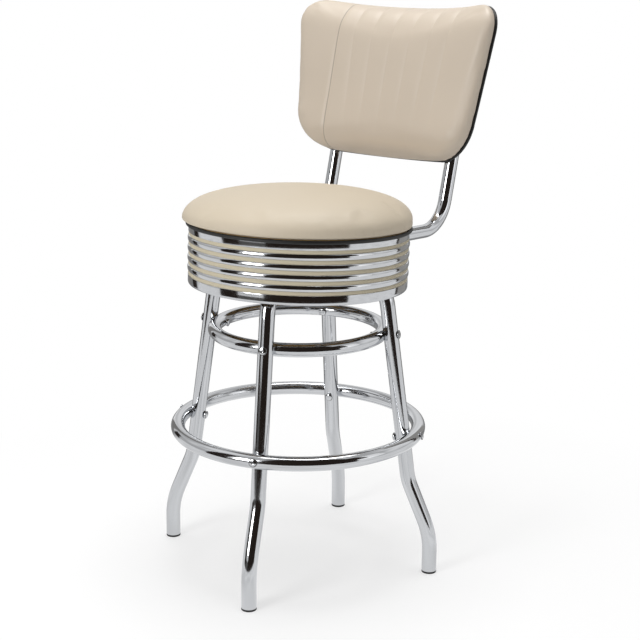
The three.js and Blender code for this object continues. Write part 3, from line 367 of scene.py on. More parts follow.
def leave_edit():
    """Merges doubled points, turns the faces outwards and leaves edit mode."""
    bpy.ops.mesh.select_all(action="SELECT")
    bpy.ops.mesh.remove_doubles(threshold=WELD)
    bpy.ops.mesh.normals_make_consistent(inside=False)
    bpy.ops.object.mode_set(mode="OBJECT")


def pick_too(piece, test):
    """Selects the points whose place passes a test, and keeps the selected edges."""
    bpy.ops.object.mode_set(mode="OBJECT")
    for vertex in piece.data.vertices:
        vertex.select = test(vertex.co)
    bpy.ops.object.mode_set(mode="EDIT")


def pick(piece, test):
    """Enters edit mode with only the points selected whose place passes a test."""
    bpy.ops.object.mode_set(mode="EDIT")
    bpy.ops.mesh.select_mode(type="VERT")
    bpy.ops.mesh.select_all(action="DESELECT")
    pick_too(piece, test)


def keep_place():
    """Moves the place of the selected piece into its mesh."""
    bpy.ops.object.transform_apply(location=True, rotation=True, scale=True)


def discard(*pieces):
    """Removes pieces that others were made from."""
    for piece in pieces:
        bpy.data.objects.remove(piece)


def push(step):
    """Extrudes what is selected by a step."""
    bpy.ops.mesh.extrude_region_move(TRANSFORM_OT_translate={"value": tuple(step)})


def modify(piece, kind, **values):
    """Adds a modifier to a piece and applies it."""
    take(piece)
    bpy.ops.object.modifier_add(type=kind)
    modifier = piece.modifiers[-1]
    for name, value in values.items():
        setattr(modifier, name, value)
    bpy.ops.object.modifier_apply(modifier=modifier.name)


def carve(piece, *cutters):
    """Cuts shapes out of a piece and removes them."""
    for cutter in cutters:
        modify(piece, "BOOLEAN", object=cutter, operation="DIFFERENCE", solver="EXACT")
        discard(cutter)


def smooth(piece, degrees=35):
    """Shades a piece smoothly, with its corners kept."""
    take(piece)
    bpy.ops.object.shade_smooth_by_angle(angle=radians(degrees))


def settle(piece, place):
    """Moves a piece modelled in its own frame to its place, and keeps the place in its mesh."""
    take(piece)
    piece.matrix_world = place @ piece.matrix_world
    keep_place()
    return piece


def copied(piece, name):
    """A copy of a piece with a mesh of its own."""
    copy = bpy.data.objects.new(name, piece.data.copy())
    bpy.context.scene.collection.objects.link(copy)
    return copy


def coat(piece, name):
    """Gives a piece one finish all over."""
    piece.data.materials.clear()
    piece.data.materials.append(finish_named(name))


def finish(piece, body, slot, *nodes, look=None):
    """Gives a piece its finish, ties it to a body, and hides the solids that it stands for."""
    coat(piece, look or slot)
    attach(piece, body)
    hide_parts(*nodes)


def spun(name, profile, steps, angle, axis):
    """Spins a profile of (radius, height) points about the Z axis by an angle."""
    radius, height = profile[0]
    piece = start(bpy.ops.mesh.primitive_plane_add, name, size=MM, location=(radius, 0, height))
    edit_all()
    bpy.ops.mesh.merge(type="CENTER")
    for (before, low), (after, high) in zip(profile, profile[1:]):
        push((after - before, 0, high - low))
    bpy.ops.mesh.select_all(action="SELECT")
    bpy.ops.mesh.spin(steps=steps, angle=angle, center=(0, 0, 0), axis=(0, 0, axis))
    leave_edit()
    return piece


def lathe(name, profile, steps):
    """Turns a profile all the way round into a closed piece."""
    piece = spun(name, profile, steps, angle=2 * pi, axis=1)
    smooth(settle(piece, Matrix()))
    return piece


def bent_tube(name, corners, bends, radius, wall, sides=40):
    """A tube through corner points, each inner one rounded by its bend's radius."""
    heading = (corners[1] - corners[0]).normalized().to_track_quat("Z", "Y").to_euler()
    piece = start(
        bpy.ops.mesh.primitive_circle_add, name,
        vertices=sides, radius=radius, location=corners[0], rotation=heading,
    )
    keep_place()
    edit_all()
    here = corners[0]
    for before, corner, after, bend in zip(corners, corners[1:], corners[2:], bends):
        arriving = (corner - before).normalized()
        leaving = (after - corner).normalized()
        turn = arriving.angle(leaving)
        reach = bend * tan(turn / 2)
        begin = corner - arriving * reach
        inward = (leaving - arriving * leaving.dot(arriving)).normalized()
        push(begin - here)
        bpy.ops.mesh.spin(
            steps=max(4, round(turn / radians(4))),
            angle=turn,
            center=begin + inward * bend,
            axis=leaving.cross(arriving).normalized(),
        )
        here = corner + leaving * reach
    push(corners[-1] - here)
    leave_edit()
    modify(piece, "SOLIDIFY", thickness=wall, offset=-1)
    smooth(piece)
    return piece


def arc(middle, radius, first, last, steps):
    """Points of an arc in a profile, from one angle in degrees to another."""
    turns = [radians(first + (last - first) * step / steps) for step in range(steps + 1)]
    return [(middle[0] + radius * cos(turn), middle[1] + radius * sin(turn)) for turn in turns]


def dome(radius, low, high, power=1.0):
    """Points of a dome in a profile, from its edge almost to its top."""
    turns = [radians(turn) for turn in range(0, 90, 10)]
    return [(radius * cos(turn) ** power, low + (high - low) * sin(turn)) for turn in turns]


def domed_bolt(name, shank):
    """A bolt with a domed head on its shank, and a six-sided socket."""
    base = settings()[0]
    top = base.bolt_head_height
    profile = [(0, -shank), (base.bolt_radius, -shank), (base.bolt_radius, 0)]
    profile += [(base.bolt_head * 0.96, 0), *dome(base.bolt_head, top * 0.3, top, 0.8), (0, top)]
    bolt = lathe(name, profile, steps=40)
    carve(bolt, start(
        bpy.ops.mesh.primitive_cylinder_add, "socket",
        vertices=6, radius=base.socket, depth=base.socket * 2, location=(0, 0, top),
    ))
    smooth(bolt)
    return bolt


def cap_nut(name):
    """A round cap nut, with its bore pointing down."""
    base = settings()[0]
    top = base.nut_height
    bore, depth = base.bolt_radius + 2 * base.fit, top * 0.65
    profile = [(0, depth), (bore, depth), (bore, 0), (base.nut_radius * 0.95, 0)]
    return lathe(name, [*profile, *dome(base.nut_radius, top * 0.45, top), (0, top)], steps=40)


def rim_faces(piece, radius):
    """The faces in the outer band of a domed head that stands on the Z axis."""
    domed = [face for face in piece.data.polygons if face.center.z > 0]
    raised = [face for face in domed if face.normal.z > RIM_SLOPE]
    return [face.index for face in raised if face.center.xy.length > RIM_SHARE * radius]


def shade_rim(piece, faces):
    """Paints shade about a head: a dark line standing in for the shadow and dark reflection at its
    edge.
    """
    piece.data.materials.append(finish_named("dusty_chrome"))
    for index in faces:
        piece.data.polygons[index].material_index = 1


def plug(name, radius, bore, foot, chamfer, length):
    """A plastic plug for a tube's end, with its foot pointing down from Z = 0."""
    inner = bore - EDGE
    profile = [(0, -foot), (radius - chamfer, -foot)]
    profile += arc((radius - chamfer, chamfer - foot), chamfer, -90, 0, 5)
    profile += [(radius, 0), (inner, 0), (inner, length), (0, length)]
    return lathe(name, profile, steps=48)


def panel_outline(name, inset):
    """The back panel's outline as one upright face with round corners."""
    back = settings()[2]
    low, high = back.bottom + inset, back.top - inset
    piece = start(
        bpy.ops.mesh.primitive_plane_add, name,
        size=1, location=(0, 0, 0), rotation=(pi / 2, 0, 0),
    )
    piece.location = (0, 0, (low + high) / 2)
    piece.scale = (2 * (half_width(high) - inset), high - low, 1)
    keep_place()
    pick(piece, lambda place: place.z < (low + high) / 2)
    narrowing = (half_width(low) - inset) / (half_width(high) - inset)
    bpy.ops.transform.resize(value=(narrowing, 1, 1), center_override=(0, 0, low))
    bpy.ops.mesh.bevel(offset=back.lower_corner - inset, segments=CORNER_STEPS, affect="VERTICES")
    # The lower corners' edges stay selected and are rounded once more, so the outline
    # doubles back on itself there, within a quarter of a millimetre of their arcs.
    pick_too(piece, lambda place: place.z > high - MM)
    bpy.ops.mesh.bevel(offset=back.upper_corner - inset, segments=CORNER_STEPS, affect="VERTICES")
    return piece


def bow(piece, depth):
    """Bends a flat piece to the panel's sideways curve, at a depth in front of its rear face."""
    for vertex in piece.data.vertices:
        away = (depth - vertex.co.y) * slant(vertex.co.x)
        vertex.co.y = rear_face(vertex.co.x) - away


def lift_corners(piece):
    """Raises the panel's upper corners a little above the middle of its upper edge."""
    back = settings()[2]
    for vertex in piece.data.vertices:
        up = max(0, 2 * (vertex.co.z - back.bottom) / (back.top - back.bottom) - 1)
        aside = min(1, abs(vertex.co.x) / back.top_half)
        vertex.co.z += back.corner_lift * aside**3 * up


# ---- finishes ----


def join(tree, value, socket):
    """Feeds a node's first output, another output or a plain value to an input."""
    if hasattr(value, "outputs"):
        value = value.outputs[0]
    if hasattr(value, "is_output"):
        tree.links.new(value, socket)
    elif value is not None:
        socket.default_value = value


def add(tree, kind, *inputs, **values):
    """Adds a node, and feeds its inputs by place or by name. Other names are its settings."""
    made = tree.nodes.new(f"ShaderNode{kind}")
    for name, value in values.items():
        if name.replace("_", " ") in made.inputs:
            join(tree, value, made.inputs[name.replace("_", " ")])
        else:
            setattr(made, name, value)
    for place, value in enumerate(inputs):
        join(tree, value, made.inputs[place])
    return made


def bare_tree(owner):
    """The emptied node tree of a material or a world."""
    owner.use_nodes = True
    owner.node_tree.nodes.clear()
    return owner.node_tree


def object_place(tree):
    """The place on the object."""
    return add(tree, "TexCoord").outputs["Object"]


def new_finish(name, tint, roughness, metallic=0.0):
    """A material, its shader, and the place on the object that a pattern reads."""
    material = bpy.data.materials.new(name)
    material.use_nodes = True
    tree = material.node_tree
    shader = tree.nodes["Principled BSDF"]
    shader.inputs["Base Color"].default_value = scaled(tint, 1)
    shader.inputs["Roughness"].default_value = roughness
    shader.inputs["Metallic"].default_value = metallic
    return material, tree, shader, object_place(tree)


def spread(tree, source, *ends):
    """Spreads a value from one range to another."""
    return add(tree, "MapRange", source, *ends)


def calculate(tree, operation, *values):
    """A maths node on outputs or plain numbers."""
    return add(tree, "Math", *values, operation=operation)


def noise(tree, place, scale, detail=3.0):
    """A soft noise value."""
    return add(tree, "TexNoise", place, Scale=scale, Detail=detail)


def set_bump(tree, shader, height, strength, distance):
    """Gives a shader a bump from a height."""
    bump = add(tree, "Bump", Strength=strength, Distance=distance, Height=height)
    join(tree, bump, shader.inputs["Normal"])


def set_roughness(tree, shader, source, *ends):
    """Varies a shader's roughness with a pattern."""
    join(tree, spread(tree, source, *ends), shader.inputs["Roughness"])


def set_tint(tree, shader, mix, first, second):
    """Varies a shader's colour between two tints."""
    made = add(tree, "Mix", mix, data_type="RGBA")
    join(tree, first, made.inputs[6])
    join(tree, second, made.inputs[7])
    tree.links.new(made.outputs[2], shader.inputs["Base Color"])
    return made.outputs[2]


def scaled(tint, share):
    """A colour made lighter or darker, and solid."""
    return (*(min(1, channel * share) for channel in tint), 1)


def chrome_finish(name, tint):
    """Polished plate with faint smears and a slight waviness."""
    material, tree, shader, place = new_finish(name, tint, 0.04, 1.0)
    set_roughness(tree, shader, noise(tree, place, 38, 5), 0.35, 0.75, 0.025, 0.085)
    set_bump(tree, shader, noise(tree, place, 60, 1), 0.06, 0.0006)
    return material


def zinc_finish(name, tint):
    """Dull plate with patches of crystal."""
    material, tree, shader, place = new_finish(name, tint, 0.35, 0.9)
    patches = add(tree, "TexVoronoi", place, Scale=160.0)
    set_roughness(tree, shader, patches, 0, 1, 0.28, 0.46)
    set_tint(tree, shader, noise(tree, place, 25), scaled(tint, 0.85), scaled(tint, 1))
    set_bump(tree, shader, noise(tree, place, 900), 0.1, 0.0002)
    return material


def vinyl_finish(name, tint, seam=False):
    """Vinyl with a leather-like grain of small rounded cells, and if asked a stitched seam, darkened
    by its stitches and by painted shade in its crease.
    """
    material, tree, shader, place = new_finish(name, tint, 0.42)
    grain = settings()[3].grain
    cells = add(tree, "TexVoronoi", place, Scale=1 / grain, Randomness=0.9)
    height = calculate(tree, "ADD", cells, noise(tree, place, 0.35 / grain, 6))
    cloudy = noise(tree, place, 9, 4)
    set_roughness(tree, shader, cloudy, 0.3, 0.7, 0.36, 0.48)
    plain = set_tint(tree, shader, cloudy, scaled(tint, 0.965), scaled(tint, 1.03))
    if seam:
        line, stitches_and_crease_shade = seam_line(tree, place)
        # The seam is darkened by its stitches and, between them, by painted shade of its crease.
        set_tint(tree, shader, stitches_and_crease_shade, plain, scaled(tint, THREAD_AND_CREASE_SHADE))
        sunk = calculate(tree, "SUBTRACT", height, calculate(tree, "MULTIPLY", line, 3.0))
        set_bump(tree, shader, sunk, 0.3, 0.0002)
    else:
        set_bump(tree, shader, height, 0.22, 0.00018)
    return material


def seam_line(tree, place):
    """The line of the back's left seam, and its darkening: the stitches along it, with painted shade
    of the crease between them.
    """
    back = settings()[2]
    inverse = back_frame().inverted()
    local = add(tree, "Mapping", place)
    local.inputs["Rotation"].default_value = inverse.to_euler()
    local.inputs["Location"].default_value = inverse.to_translation()
    across, _, up = add(tree, "SeparateXYZ", local).outputs
    slope = (back.top_half - back.bottom_half) / (back.top - back.bottom)
    rising = calculate(tree, "MULTIPLY", up, slope)
    half = calculate(tree, "ADD", rising, back.bottom_half - slope * back.bottom)
    low, high = back.seam_share + back.seam_lean, back.seam_share - back.seam_lean
    share = spread(tree, up, back.bottom, back.top, low, high)
    seam_at = calculate(tree, "MULTIPLY", half, share)
    away = calculate(tree, "ABSOLUTE", calculate(tree, "ADD", across, seam_at))
    line = spread(tree, away, 0.0003, 0.0012, 1, 0)
    stitches = calculate(tree, "SINE", calculate(tree, "MULTIPLY", up, 2 * pi / STITCH))
    gaps = spread(tree, stitches, -0.6, 0.2, 1, 0.55)
    return line, calculate(tree, "MULTIPLY", line, gaps)


def strip_finish(name, tint):
    """Satin strip with a faint grain along it."""
    material, tree, shader, place = new_finish(name, tint, 0.38)
    set_tint(tree, shader, noise(tree, place, 30), scaled(tint, 0.95), scaled(tint, 1))
    set_bump(tree, shader, noise(tree, place, 700), 0.12, 0.0002)
    return material


def dark_finish(name, tint, roughness, scale):
    """Black vinyl, moulded plastic, or the painted shade about bolt heads, with a fine texture."""
    material, tree, shader, place = new_finish(name, tint, roughness)
    texture = noise(tree, place, scale, 4)
    set_roughness(tree, shader, texture, 0.3, 0.7, roughness - 0.06, roughness + 0.08)
    set_bump(tree, shader, texture, 0.25, 0.0003)
    return material


def plywood_finish(name, tint):
    """Pale veneer with a wavy figure."""
    material, tree, shader, place = new_finish(name, tint, 0.7)
    wave = add(tree, "TexWave", place, Scale=22.0, Distortion=7.0, Detail=3.0, Detail_Scale=1.2)
    figure = wave.outputs[1]
    set_tint(tree, shader, figure, scaled(tint, 0.7), scaled(tint, 1.15))
    set_bump(tree, shader, figure, 0.15, 0.0004)
    return material


FINISHES = {
    "chrome": (chrome_finish, "chrome"),
    "zinc": (zinc_finish, "zinc"),
    "cream_vinyl": (vinyl_finish, "vinyl"),
    "cream_vinyl_seamed": (vinyl_finish, "vinyl", True),
    "cream_strip": (strip_finish, "strip"),
    "black_vinyl": (dark_finish, "welt", 0.42, 500),
    # Painted shade about the heads of bolts and nuts.
    "dusty_chrome": (dark_finish, "dust", 0.35, 900),
    "black_plastic": (dark_finish, "plastic", 0.5, 1100),
    "plywood": (plywood_finish, "plywood"),
}


def finish_named(name):
    """The material of a finish, made when it is first asked for."""
    made = bpy.data.materials.get(name)
    if made is None:
        maker, tint, *values = FINISHES[name]
        made = maker(name, getattr(settings()[3], tint), *values)
    return made


# ---- padding ----


def swell(piece, held, voxel, pressure, cap):
    """Turns a piece into soft cloth over foam: remeshed, blown up a little, then made fine."""
    modify(piece, "REMESH", mode="VOXEL", voxel_size=voxel)
    group = piece.vertex_groups.new(name="held")
    group.add([v.index for v in piece.data.vertices if held(v.co)], 1.0, "REPLACE")
    before = [vertex.co.copy() for vertex in piece.data.vertices]
    take(piece)
    bpy.ops.object.modifier_add(type="CLOTH")
    cloth = piece.modifiers[-1]
    cloth.settings.use_pressure = True
    cloth.settings.uniform_pressure_force = pressure
    cloth.settings.vertex_group_mass = "held"
    cloth.settings.tension_stiffness = CLOTH_STIFFNESS
    cloth.settings.compression_stiffness = CLOTH_STIFFNESS
    cloth.settings.bending_stiffness = CLOTH_BENDING
    cloth.settings.effector_weights.gravity = 0
    scene = bpy.context.scene
    for number in range(1, CLOTH_FRAMES + 1):
        scene.frame_set(number)
    bpy.ops.object.modifier_apply(modifier=cloth.name)
    for vertex, rest in zip(piece.data.vertices, before):
        moved = vertex.co - rest
        if moved.length > cap:
            vertex.co = rest + moved * (cap / moved.length)
    scene.frame_set(1)
    modify(piece, "SMOOTH", factor=0.5, iterations=6)
    modify(piece, "SUBSURF", levels=1, render_levels=1)


def crease_back(piece):
    """Presses the back's channels and side seam into its front, fading towards the bottom."""
    back = settings()[2]
    normals = [vertex.normal.copy() for vertex in piece.data.vertices]
    for vertex, normal in zip(piece.data.vertices, normals):
        if normal.y > -0.15:
            continue
        half = half_width(vertex.co.z)
        up = (vertex.co.z - back.bottom) / (back.top - back.bottom)
        # The channels start at a tenth of the height, and deepen to the top.
        fade = min(1, max(0, (up - 0.1) / 0.3)) * (0.75 + 0.5 * max(0, up - 0.5))
        depth = 0
        for share in CHANNELS:
            away = (vertex.co.x - share * half) / back.channel_width
            depth += back.channel_depth * fade * exp(-abs(away))
        seam_at = (back.seam_share - back.seam_lean * (2 * up - 1)) * half
        away = (vertex.co.x + seam_at) / (back.channel_width * 0.6)
        depth += back.channel_depth * 0.5 * exp(-away * away)
        vertex.co -= normal * depth


# ---- operators ----


class STOOL_OT_legs(bpy.types.Operator):
    """Model the four bent legs and their glides"""

    bl_idname = "stool.legs"
    bl_label = "Legs and glides"

    def execute(self, context):
        base = context.scene.stool_base
        corners = [
            Vector((base.foot_circle, 0, base.glide_thickness + base.fit)),
            Vector((base.foot_circle, 0, base.ankle_height)),
            Vector((base.knee_circle, 0, base.knee_height)),
            Vector((splay_radius(base.shoulder_height), 0, base.shoulder_height)),
            Vector((base.leg_end, 0, base.shoulder_height)),
        ]
        bends = (base.ankle_bend, base.knee_bend, base.shoulder_bend)
        leg = bent_tube("leg", corners, bends, base.leg_radius, base.leg_wall)
        bore = base.leg_radius - base.leg_wall
        foot, chamfer = base.glide_thickness, base.glide_chamfer
        glide = plug("glide", base.leg_radius, bore, foot, chamfer, base.glide_plug)
        below = shifted((base.foot_circle, 0, foot))
        for index, name in enumerate(LEG_NAMES):
            one = settle(copied(leg, f"chrome_leg_{name}"), leg_frame(index))
            finish(one, "base", "chrome", f"leg_{name}")
            end = settle(copied(glide, f"foot_glide_{name}"), leg_frame(index) @ below)
            finish(end, "base", "black_plastic", f"glide_{name}")
        discard(leg, glide)
        return {"FINISHED"}


class STOOL_OT_rings(bpy.types.Operator):
    """Model the foot ring and the upper ring, pressed to saddles at the legs"""

    bl_idname = "stool.rings"
    bl_label = "Rings"

    def execute(self, context):
        for name in ("foot", "upper"):
            height, tube, _ = ring_sizes(name)
            ring = start(
                bpy.ops.mesh.primitive_torus_add, f"chrome_{name}_ring",
                location=(0, 0, height), major_radius=ring_radius(name), minor_radius=tube,
                major_segments=160, minor_segments=32,
            )
            keep_place()
            settle(ring, floor_frame())
            carve(ring, *[self.saddle(index, height) for index in range(4)])
            smooth(ring)
            finish(ring, "base", "chrome", f"{name}_ring")
        return {"FINISHED"}

    def saddle(self, index, height):
        """A straight stretch of a leg, a little too thick."""
        base = settings()[0]
        stretch = start(
            bpy.ops.mesh.primitive_cylinder_add, "saddle",
            vertices=64, radius=base.leg_radius + base.fit, depth=8 * base.leg_radius,
            location=(splay_radius(height), 0, height), rotation=(0, -base.splay, 0),
        )
        return settle(stretch, leg_frame(index))


class STOOL_OT_ring_bolts(bpy.types.Operator):
    """Model the domed bolts and cap nuts that tie the rings to the legs"""

    bl_idname = "stool.ring_bolts"
    bl_label = "Ring bolts"

    def execute(self, context):
        base = context.scene.stool_base
        nut = cap_nut("nut")
        nut_rim = rim_faces(nut, base.nut_radius)
        for ring in ("foot", "upper"):
            height, tube, offset = ring_sizes(ring)
            head, tail = tube, offset + base.leg_radius
            if ring == "upper":
                head, tail = tail, head
            bolt = domed_bolt("bolt", head + tail + base.nut_height / 2)
            ends = (
                ("bolt", bolt, rim_faces(bolt, base.bolt_head), head + base.fit, pi / 2),
                ("nut", nut, nut_rim, -tail - base.fit * NUT_SLACK, -pi / 2),
            )
            for index, name in enumerate(LEG_NAMES):
                axis = leg_frame(index) @ shifted((ring_radius(ring), 0, height))
                axis = axis @ turned(-base.splay, "Y")
                for kind, piece, rim, reach, turn in ends:
                    place = axis @ shifted((reach, 0, 0)) @ turned(turn, "Y")
                    one = settle(copied(piece, f"{kind}_{ring}_ring_{name}"), place)
                    finish(one, "base", "chrome", f"{ring}_ring_{kind}_{name}")
                    # Paints shade about the rim of each head and nut.
                    shade_rim(one, rim)
            discard(bolt)
        discard(nut)
        return {"FINISHED"}


def groove_bottom(index):
    """Height of the lower edge of a groove in the skirt."""
    base, seat, _, _ = settings()
    ribbed = seat.rib_count * seat.rib_width + (seat.rib_count + 1) * seat.groove_width
    bottom = seat.board_bottom - base.fit - seat.top_band - ribbed
    return bottom + index * (seat.groove_width + seat.rib_width)


def tube_slots():
    """Two slots with round bottoms, open at the top, that the back tubes pass through."""
    base, seat, back, _ = settings()
    slots = []
    for side in SIDES.values():
        slot = start(
            bpy.ops.mesh.primitive_circle_add, "slot",
            vertices=48, radius=back.tube_radius + base.fit, fill_type="NGON",
            location=(side * back.spacing / 2, 0, tube_level()), rotation=(pi / 2, 0, 0),
        )
        keep_place()
        pick(slot, lambda place: place.z > tube_level() + TINY)
        bpy.ops.transform.translate(value=(0, 0, seat.rib_width * 2))
        bpy.ops.mesh.select_all(action="SELECT")
        push((0, seat.cushion_radius * 1.1, 0))
        leave_edit()
        slots.append(slot)
    return slots


class STOOL_OT_skirt(bpy.types.Operator):
    """Model the ribbed skirt, its insert strips and the seat's welt"""

    bl_idname = "stool.skirt"
    bl_label = "Skirt, strips and welt"

    def execute(self, context):
        skirt = lathe("ribbed_skirt", self.profile(), steps=144)
        carve(skirt, *tube_slots())
        smooth(skirt, degrees=30)
        settle(skirt, seat_frame())
        finish(skirt, "seat", "chrome", "skirt")
        self.add_strips()
        self.add_welt()
        return {"FINISHED"}

    def profile(self):
        """The skirt's section: a rolled lower edge, ribs and grooves in turn, and a top band."""
        base, seat, _, _ = settings()
        bottom = groove_bottom(0) - seat.base_band
        top = seat.board_bottom - base.fit
        bore, band, lip = seat.skirt_bore, seat.band_radius, seat.lip_radius
        section = [(bore, top), (bore, bottom)]
        for degrees in range(0, 91, 15):
            turn = radians(degrees)
            out, rise = (band - lip) * sin(turn), seat.lip_rise * (1 - cos(turn))
            section.append((lip + out, bottom + rise))
        section += arc((band - EDGE, groove_bottom(0) - EDGE), EDGE, 0, 90, 3)
        for index in range(seat.rib_count + 1):
            low = groove_bottom(index)
            high = low + seat.groove_width
            section += [(seat.groove_radius, low), (seat.groove_radius, high)]
            if index < seat.rib_count:
                section += self.rib(high)
        section += arc((band - EDGE, high + EDGE), EDGE, -90, 0, 3)
        return [*section, (band, top), (bore, top)]

    def rib(self, low):
        """One rib's rounded outline, from its lower edge up."""
        seat = settings()[1]
        section = []
        for turn in (pi * step / 16 for step in range(17)):
            out = (seat.rib_crest - seat.rib_edge) * max(0, sin(turn)) ** (2 / 3)
            section.append((seat.rib_edge + out, low + seat.rib_width * (1 - cos(turn)) / 2))
        return section

    def add_strips(self):
        """One strip to a groove. The back tubes cut the top one in two."""
        base, seat, _, _ = settings()
        inner, outer = seat.groove_radius + base.fit, seat.strip_radius
        for index in range(seat.rib_count + 1):
            low = groove_bottom(index) - 2 * base.fit
            high = groove_bottom(index) + seat.groove_width + 2 * base.fit
            half = (high - low) / 2
            section = [(inner, high), (inner, low)]
            for turn in range(-90, 91, 18):
                fullness = 0.72 + 0.28 * cos(radians(turn))
                section.append((inner + (outer - inner) * fullness, low + half + half * turn / 90))
            strip = lathe(f"cream_strip_{index + 1}", [*section, (inner, high)], steps=144)
            nodes = [f"insert_strip_{index + 1}"]
            if index == seat.rib_count:
                carve(strip, *tube_slots())
                nodes = [f"{nodes[0]}_front", f"{nodes[0]}_rear"]
            smooth(strip, degrees=50)
            settle(strip, seat_frame())
            finish(strip, "seat", "cream_strip", *nodes)

    def add_welt(self):
        """The round welt between the skirt and the cushion."""
        seat = settings()[1]
        welt = start(
            bpy.ops.mesh.primitive_torus_add, "seat_piping",
            location=(0, 0, seat.board_bottom + seat.welt_radius), major_radius=seat.welt_circle,
            minor_radius=seat.welt_radius, major_segments=160, minor_segments=20,
        )
        smooth(settle(welt, seat_frame()))
        finish(welt, "seat", "black_vinyl", "seat_welt")


class STOOL_OT_seat_cushion(bpy.types.Operator):
    """Model the padded seat as vinyl pulled over a crown of foam"""

    bl_idname = "stool.seat_cushion"
    bl_label = "Seat cushion"

    def execute(self, context):
        base, seat, _, _ = settings()
        stuffing = 3.0 * MM
        bottom = seat.board_bottom + 2 * seat.welt_radius + base.fit
        widest = bottom + seat.cushion_side
        power = 2 / seat.roundness
        drawn_in = (seat.cushion_foot + 2 * seat.cushion_radius) / 3 + stuffing
        profile = [(0, bottom), (seat.cushion_foot - base.fit, bottom)]
        profile.append((drawn_in, bottom + seat.cushion_side / 3))
        for degrees in range(0, 90, 5):
            turn = radians(degrees)
            across = (seat.cushion_radius + stuffing) * cos(turn) ** power
            rise = (seat.cushion_crown + stuffing) * sin(turn) ** power
            profile.append((across, widest + rise))
        profile.append((0, widest + seat.cushion_crown + stuffing))
        pad = lathe("padded_seat", profile, steps=128)

        def held(place):
            return place.z < bottom + 2 * MM

        swell(pad, held, voxel=5 * MM, pressure=4, cap=2.5 * MM)
        top = seat.board_bottom + seat.board_thickness + base.fit
        carve(pad, start(
            bpy.ops.mesh.primitive_cylinder_add, "recess",
            vertices=128, radius=seat.board_radius + base.fit, depth=2 * (top - bottom),
            location=(0, 0, bottom),
        ))
        smooth(pad, degrees=60)
        self.slump(pad, bottom)
        settle(pad, seat_frame())
        finish(pad, "seat", "cream_vinyl", "seat_cushion")
        return {"FINISHED"}

    def slump(self, pad, bottom):
        """Lets the padding hang over the welt on one side, and draws it in on the other."""
        seat = settings()[1]
        for vertex in pad.data.vertices:
            rise = min(1, max(0, (vertex.co.z - bottom) / seat.cushion_side))
            share = rise * rise * (3 - 2 * rise)
            drop = SLUMP_DROP + SLUMP_LEAN * SLUMP_SIDE.dot(vertex.co) / seat.cushion_radius
            vertex.co += (SLUMP_SIDE * SLUMP - Vector((0, 0, drop))) * share


class STOOL_OT_back_tubes(bpy.types.Operator):
    """Model the two bent tubes of the back, with their caps"""

    bl_idname = "stool.back_tubes"
    bl_label = "Back tubes"

    def execute(self, context):
        back = context.scene.stool_back
        level = tube_level()
        corner = Vector((0, back.corner_reach, level))
        rise = Vector((0, sin(back.lean), cos(back.lean)))
        corners = [Vector((0, -back.inner_reach, level)), corner, corner + rise * back.tube_height]
        tube = bent_tube("tube", corners, (back.bend,), back.tube_radius, back.tube_wall)
        bore = back.tube_radius - back.tube_wall
        foot = back.cap_thickness
        cap = plug("cap", back.tube_radius, bore, foot, foot * 0.6, back.cap_plug)
        for name, side in SIDES.items():
            aside = shifted((side * back.spacing / 2, 0, 0))
            one = settle(copied(tube, f"chrome_back_tube_{name}"), seat_frame() @ aside)
            finish(one, "seat", "chrome", f"back_tube_{name}")
            above = back_frame() @ aside @ shifted((0, 0, back.tube_height))
            end = settle(copied(cap, f"cap_{name}"), above @ turned(pi, "X"))
            finish(end, "seat", "black_plastic", f"tube_cap_{name}")
        discard(tube, cap)
        return {"FINISHED"}


class STOOL_OT_back_cover(bpy.types.Operator):
    """Model the curved rear cover, the welt round it and the bolts that hold the back"""

    bl_idname = "stool.back_cover"
    bl_label = "Back cover, welt and bolts"

    def execute(self, context):
        self.add_cover()
        self.add_welt()
        self.add_bolts()
        return {"FINISHED"}

    def add_cover(self):
        """A slab with round corners, cut into columns and bowed."""
        back = settings()[2]
        cover = panel_outline("rear_cover", back.cover_inset)
        for step in range(1 - COVER_COLUMNS, COVER_COLUMNS):
            column = (step * back.top_half / COVER_COLUMNS, 0, 0)
            bpy.ops.mesh.select_all(action="SELECT")
            bpy.ops.mesh.bisect(plane_co=column, plane_no=(1, 0, 0))
        bpy.ops.mesh.select_all(action="SELECT")
        push((0, -back.cover_thickness, 0))
        leave_edit()
        bow(cover, 0)
        lift_corners(cover)
        modify(cover, "BEVEL", width=1.6 * MM, segments=3, limit_method="ANGLE")
        smooth(cover, degrees=40)
        settle(cover, back_frame())
        finish(cover, "seat", "cream_vinyl", "back_cover")

    def add_welt(self):
        """A round welt along the panel's outline."""
        back = settings()[2]
        welt = panel_outline("back_piping", back.welt_inset)
        bpy.ops.mesh.delete(type="ONLY_FACE")
        bpy.ops.mesh.select_all(action="SELECT")
        bpy.ops.mesh.subdivide(number_cuts=9)
        bpy.ops.object.mode_set(mode="OBJECT")
        bow(welt, back.welt_radius)
        lift_corners(welt)
        take(welt)
        bpy.ops.object.convert(target="CURVE")
        welt = bpy.context.object
        welt.data.bevel_depth = back.welt_radius
        welt.data.bevel_resolution = 5
        bpy.ops.object.convert(target="MESH")
        welt = bpy.context.object
        edit_all()
        leave_edit()
        smooth(welt, degrees=60)
        settle(welt, back_frame())
        finish(welt, "seat", "black_vinyl", "back_welt")

    def add_bolts(self):
        """Domed bolts through the tubes into the back's board."""
        base, _, back, _ = settings()
        reach = back.tube_radius + base.fit
        through = -rear_face(back.spacing / 2) + back.cover_thickness
        bolt = domed_bolt("bolt", reach + through + 2 * base.bolt_radius)
        rim = rim_faces(bolt, base.bolt_head)
        for name, side in SIDES.items():
            for label, height in (("lower", back.bolt_low), ("upper", back.bolt_high)):
                place = shifted((side * back.spacing / 2, reach, height))
                place = back_frame() @ place @ turned(-pi / 2, "X")
                one = settle(copied(bolt, f"bolt_back_{label}_{name}"), place)
                finish(one, "seat", "chrome", f"back_bolt_{label}_{name}")
                # Paints shade about the rim of each head.
                shade_rim(one, rim)
        discard(bolt)


